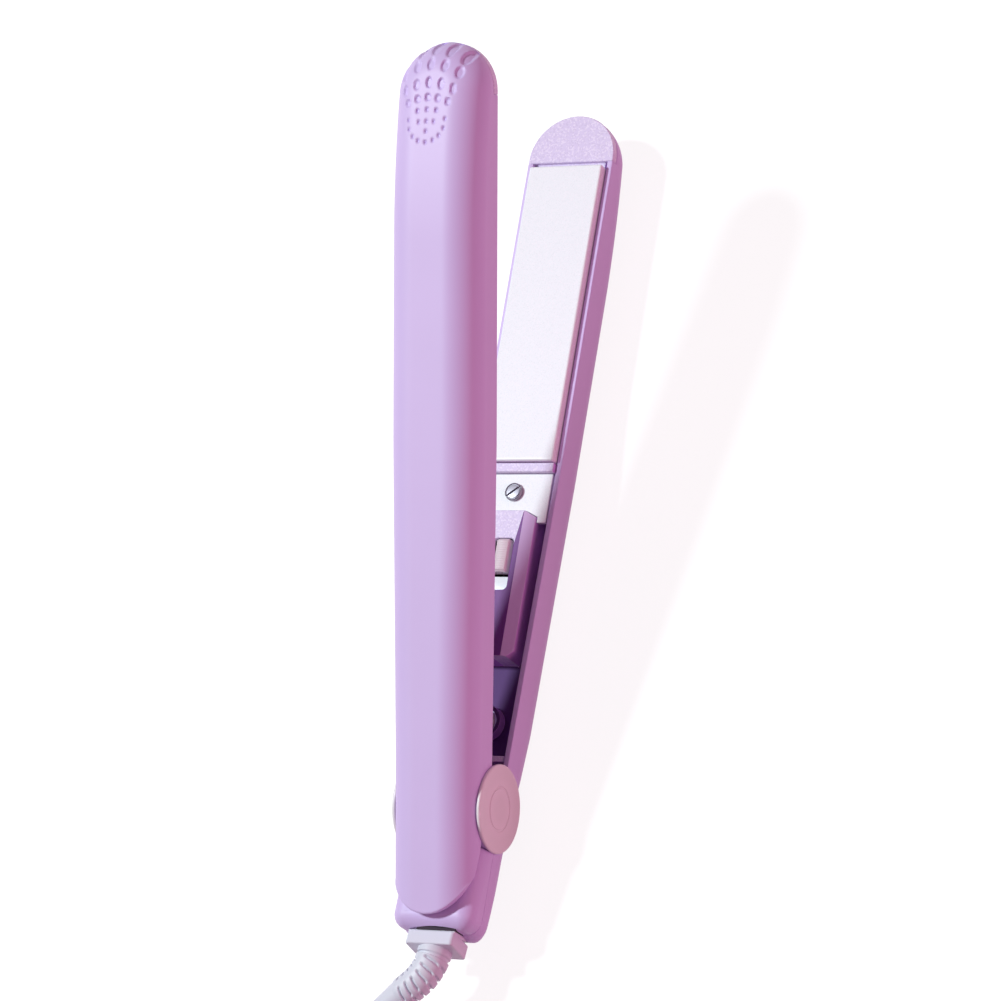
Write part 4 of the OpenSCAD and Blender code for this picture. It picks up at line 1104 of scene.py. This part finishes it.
def makeSleeve():
    bm = bmesh.new()
    start, sides = Vector(sleeve["start"]), sleeve["sides"]
    route = smoothRoute([start + Vector(p) for p in sleeve["route"]], sleeve["step"])
    total = routeLength(route)
    reach = [0.0]
    for a, b in zip(route, route[1:]):
        reach.append(reach[-1] + (b - a).length)
    sweepTube(bm, route, lambda i, k: sleeveRadius(reach[i], 2 * pi * k / sides, total), sides,
              sleeve["first"], sleeve["end"])
    return finishPiece("leadSleeve", bm, onBench, "lower_arm", "lead", ["strain_relief"], 55)


# Places along the hank are counted in quarters of a loop.
hank = {"pitch": 6.7, "run": 27.0, "fold": 18.2, "waist": 16.0, "at": (-15.0, -187.0), "floor": 3.85,
        "turns": (8.5, 14.5, 20.5), "climbs": (7.5, 13.5, 19.5), "climbSpan": 2, "probe": 0.01,
        "start": 13 / 6, "end": 24.0, "quarterSteps": 24, "plugHeight": 34.9, "plugRise": (22.8, 1.2),
        "tail": 8.0, "tailShares": (0.25, 0.5, 0.75, 1.0, 1.15), "leadRadius": 3.0, "leadStep": 2.0,
        "leadJoin": 6,
        "free": ((-11.4, -113.85, 11.42), (-14.2, -116.15, 10.27), (-21.2, -122.2, 7.9), (-27, -128.3, 6.3),
                 (-33, -135.3, 5), (-38.6, -143.2, 4.2), (-42.7, -151.8, 3.9), (-44.1, -161, 3.85))}


def hankBase(s):
    quarter, f = int(s // 1) % 4, s - s // 1
    y = hank["run"] * (2 * f - 1)
    x = hank["waist"] + (hank["fold"] - hank["waist"]) * (1 - cos(pi * y / hank["run"])) / 2
    if quarter == 0:
        return Vector((x, y))
    if quarter == 1:
        return Vector((hank["fold"] * cos(pi * f), hank["run"] + hank["fold"] * sin(pi * f)))
    if quarter == 2:
        return Vector((-x, -y))
    return Vector((-hank["fold"] * cos(pi * f), -hank["run"] - hank["fold"] * sin(pi * f)))


def hankPoint(s):
    t = hankBase(s + hank["probe"]) - hankBase(s - hank["probe"])
    out = Vector((t.y, -t.x)).normalized()
    first, second, third = hank["turns"]
    if s < first:
        offset = first - s
    elif s < second:
        offset = s - first
    elif s < third:
        offset = third - s
    else:
        offset = 0.0
    climb = sum(ease((s - a) / hank["climbSpan"]) for a in hank["climbs"])
    rise = hank["plugHeight"] - hank["floor"] - len(hank["climbs"]) * hank["pitch"]
    riseFrom, riseSpan = hank["plugRise"]
    height = hank["floor"] + hank["pitch"] * climb + rise * ease((s - riseFrom) / riseSpan)
    plan = hankBase(s) + out * (offset * hank["pitch"] / 4)
    return Vector((hank["at"][0] + plan.x, hank["at"][1] + plan.y, height))


def leadRoute():
    start, span = hank["start"], hank["end"] - hank["start"]
    count = round(span * hank["quarterSteps"])
    coiled = [hankPoint(start + span * i / count) for i in range(count + 1)]
    lead = smoothRoute(list(hank["free"]) + [coiled[0], coiled[hank["leadJoin"]]], hank["leadStep"])
    cut = min(range(len(lead)), key=lambda i: (lead[i] - coiled[0]).length)
    return lead[:cut] + coiled + [coiled[-1] + Vector((0, hank["tail"] * f, 0)) for f in hank["tailShares"]]


def makeLead():
    route = leadRoute()
    data = bpy.data.curves.new("mainsLead", "CURVE")
    data.dimensions = "3D"
    data.bevel_depth = hank["leadRadius"] * millimetre
    data.bevel_resolution = 6
    data.use_fill_caps = True
    spline = data.splines.new("POLY")
    spline.points.add(len(route) - 1)
    for point, place in zip(spline.points, route):
        point.co = (*(place * millimetre), 1.0)
    spline.use_smooth = True
    data.materials.append(finishes["lead"])
    piece = bpy.data.objects.new("mainsLead", data)
    scene.collection.objects.link(piece)
    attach(piece, "lower_arm")
    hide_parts("power_cord", "cord_hank")


tie = {"left": -45.65, "right": 12.3, "low": 0.0, "high": 27.8, "start": -192.0, "end": -182.0,
       "thick": 0.8, "corner": 4.0, "soft": 0.25, "ribFrom": 1.2, "ribStep": 0.3, "ribPitch": 1.9,
       "ribDeep": 0.12}
cornerPoints = 9


def roundedRing(width, height, corner):
    ring = []
    for k in range(4):
        for i in range(cornerPoints):
            turn = radians(90 * (k + i / (cornerPoints - 1)))
            cx = (width / 2 - corner) * (1 if k in (0, 3) else -1)
            cz = (height / 2 - corner) * (1 if k in (0, 1) else -1)
            ring.append((cx + corner * cos(turn), cz + corner * sin(turn)))
    return ring


def makeTie():
    middle = Vector(((tie["left"] + tie["right"]) / 2, 0, (tie["low"] + tie["high"]) / 2))
    width, height = tie["right"] - tie["left"], tie["high"] - tie["low"]
    start, end, thick, soft = tie["start"], tie["end"], tie["thick"], tie["soft"]
    ribs = steps(start + tie["ribFrom"], end - tie["ribFrom"], tie["ribStep"])
    profile = [(soft, start), (soft / 4, start + soft / 4), (0, start + soft)]
    profile += [(tie["ribDeep"] * (0.5 - 0.5 * cos(2 * pi * (y - ribs[0]) / tie["ribPitch"])), y)
                for y in ribs]
    profile += [(0, end - soft), (soft / 4, end - soft / 4), (soft, end), (thick - soft, end),
                (thick, end - soft), (thick, start + soft), (thick - soft, start), (soft, start)]
    rings = []
    for inset, y in profile:
        ring = roundedRing(width - 2 * inset, height - 2 * inset, tie["corner"] - inset)
        rings.append([middle + Vector((x, y, z)) for x, z in ring])
    bm = bmesh.new()
    loftRings(bm, rings)
    return finishPiece("leadTie", bm, onBench, "lower_arm", "tie", ["hank_tie"], 60)


# Each ring of the plug is a place along it, a width, a thickness and a corner radius. The bellows and the
# grips repeat one shape: how often, from where and how far apart.
plug = {"at": (3.2, -206.0, 34.9), "length": 36.0, "bladeGap": 6.35, "blade": (1.5, 17.0, 6.2),
        "bladeEdge": 0.35, "bladeSink": 0.02,
        "start": ((0, 8.4, 8.4, 4.199), (0.15, 9.0, 9.0, 4.49), (0.6, 9.2, 9.2, 4.59)),
        "bellows": (4, 1.4, 1.9),
        "bellow": ((0, 9.2, 9.2, 4.59), (0.25, 8.3, 8.3, 4.14), (0.75, 8.3, 8.3, 4.14),
                   (1.0, 9.2, 9.2, 4.59)),
        "shoulder": ((9.2, 9.6, 9.4, 4.6), (9.8, 11.2, 10.2, 4.2), (10.6, 13.2, 11.2, 3.8),
                     (11.8, 16.6, 12.4, 3.6), (13.0, 19.8, 13.3, 3.4), (14.2, 21.6, 13.8, 3.2),
                     (15.4, 22, 14, 3)),
        "grips": (5, 17.2, 2.2),
        "grip": ((0, 22, 14, 3), (0.3, 21.1, 13.1, 2.7), (0.8, 21.1, 13.1, 2.7), (1.1, 22, 14, 3)),
        "front": ((35.0, 22, 14, 3), (35.7, 21.6, 13.6, 2.8), (36.0, 20.6, 12.6, 2.4), (36.0, 16, 8, 1.5))}


def repeated(rows, shape):
    count, first, gap = rows
    return [(first + gap * k + ring[0],) + ring[1:] for k in range(count) for ring in shape]


def makePlug():
    place = Vector(plug["at"])
    shapes = list(plug["start"]) + repeated(plug["bellows"], plug["bellow"]) + list(plug["shoulder"])
    shapes += repeated(plug["grips"], plug["grip"]) + list(plug["front"])
    rings = [[place + Vector((x, y, z)) for x, z in roundedRing(width, thick, corner)]
             for y, width, thick, corner in shapes]
    first, last = ([place + Vector((0, y, 0))] * len(rings[0]) for y in (0, plug["length"]))
    bm = bmesh.new()
    loftRings(bm, [first] + rings + [last])
    return finishPiece("plugBody", bm, onBench, "lower_arm", "pale", ["plug_body"], 50)


def makePlugPins():
    bm = bmesh.new()
    place = Vector(plug["at"]) + Vector((0, plug["length"], 0))
    thick, long, high = plug["blade"]
    for side in (-1, 1):
        x = place.x + side * plug["bladeGap"]
        addBox(bm, (x - thick / 2, place.y - plug["bladeSink"], place.z - high / 2),
               (x + thick / 2, place.y + long, place.z + high / 2), plug["bladeEdge"], 3)
    return finishPiece("plugPins", bm, onBench, "lower_arm", "brass", ["plug_pins"], 50)


leadPieces = [makeSleeve(), makeTie(), makePlug(), makePlugPins()]
makeLead()
print("lead made")

# Finishes of the parts kept as they are.

kept = {"film": ("lower_heater_element", "upper_heater_element"),
        "steel": ("lower_heater_clamp", "upper_heater_clamp", "hinge_pin", "thermal_fuse",
                  "rear_cover_screws", "upper_frame_screws"),
        "resin": ("lower_plate_carrier", "upper_plate_carrier", "switch_body"),
        "board": ("circuit_board",), "wire": ("lower_leads", "upper_leads")}
for finish, names in kept.items():
    for nodeName in names:
        data = nodes[nodeName].data
        data.materials.clear()
        data.materials.append(finishes[finish])
print("kept parts finished")

# Floor and light.

studio = {"floor": (0.62, 0.28, 0.43, 1.0), "floorSize": 3.0, "floorDrop": 0.0003,
          "paper": (0.28, 0.29, 0.29, 1.0), "paperGlow": 0.87, "white": (1.0, 1.0, 1.0, 1.0),
          "sky": (1.0, 0.6, 0.76, 1.0), "skyLevel": 0.265, "aim": (0, 0, 0.03),
          "lamps": {"keyLamp": {"place": (-0.95, 0.1, 1.62), "size": 0.22, "power": 29.0,
                                "colour": (0.88, 1.0, 0.99)},
                    "fillLamp": {"place": (0.6, -0.05, 0.18), "size": 0.4, "power": 1.12,
                                 "colour": (1.0, 0.38, 0.58)}}}


def plainShader(tree, kind, colour, strength=None):
    node = tree.nodes.new(kind)
    node.inputs["Color"].default_value = colour
    if strength is not None:
        node.inputs["Strength"].default_value = strength
    return node.outputs[0]


def joined(tree, kind, *sources):
    node = tree.nodes.new(kind)
    for socket, source in zip(node.inputs, sources):
        tree.links.new(source, socket)
    return node


def makeFloor():
    bm = bmesh.new()
    bmesh.ops.create_grid(bm, x_segments=1, y_segments=1, size=studio["floorSize"])
    bmesh.ops.translate(bm, vec=(0, 0, -studio["floorDrop"]), verts=bm.verts)
    mesh = bpy.data.meshes.new("studioFloor")
    bm.to_mesh(mesh)
    bm.free()
    floor = bpy.data.objects.new("studioFloor", mesh)
    scene.collection.objects.link(floor)
    paper = bpy.data.materials.new("studioPaper")
    paper.use_nodes = True
    tree = paper.node_tree
    tree.nodes.clear()
    rays = tree.nodes.new("ShaderNodeLightPath").outputs
    direct = mathNode(tree, "MAXIMUM", rays["Is Camera Ray"],
                      mathNode(tree, "MAXIMUM", rays["Is Glossy Ray"], rays["Is Transmission Ray"]))
    bounce = plainShader(tree, "ShaderNodeBsdfDiffuse", studio["floor"])
    lit = joined(tree, "ShaderNodeAddShader", plainShader(tree, "ShaderNodeBsdfDiffuse", studio["paper"]),
                 plainShader(tree, "ShaderNodeEmission", studio["white"], studio["paperGlow"]))
    choose = joined(tree, "ShaderNodeMixShader", direct, bounce, lit.outputs[0])
    joined(tree, "ShaderNodeOutputMaterial", choose.outputs[0])
    mesh.materials.append(paper)


def makeSky():
    scene.world = bpy.data.worlds.new("studioSky")
    scene.world.use_nodes = True
    tree = scene.world.node_tree
    tree.nodes.clear()
    rays = tree.nodes.new("ShaderNodeLightPath").outputs
    soft = plainShader(tree, "ShaderNodeBackground", studio["sky"], studio["skyLevel"])
    white = plainShader(tree, "ShaderNodeBackground", studio["white"])
    choose = joined(tree, "ShaderNodeMixShader", rays["Is Camera Ray"], soft, white)
    joined(tree, "ShaderNodeOutputWorld", choose.outputs[0])


def makeLamp(name, values):
    lamp = bpy.data.objects.new(name, bpy.data.lights.new(name, "AREA"))
    lamp.data.shape = "DISK"
    lamp.data.size = values["size"]
    lamp.data.energy = values["power"]
    lamp.data.color = values["colour"]
    aim = Vector(studio["aim"]) - Vector(values["place"])
    turn = aim.to_track_quat("-Z", "Y").to_matrix().to_4x4()
    lamp.matrix_world = Matrix.Translation(values["place"]) @ turn
    scene.collection.objects.link(lamp)


makeFloor()
makeSky()
for lampName, lamp in studio["lamps"].items():
    makeLamp(lampName, lamp)
scene.view_settings.view_transform = "Standard"
print("studio made")
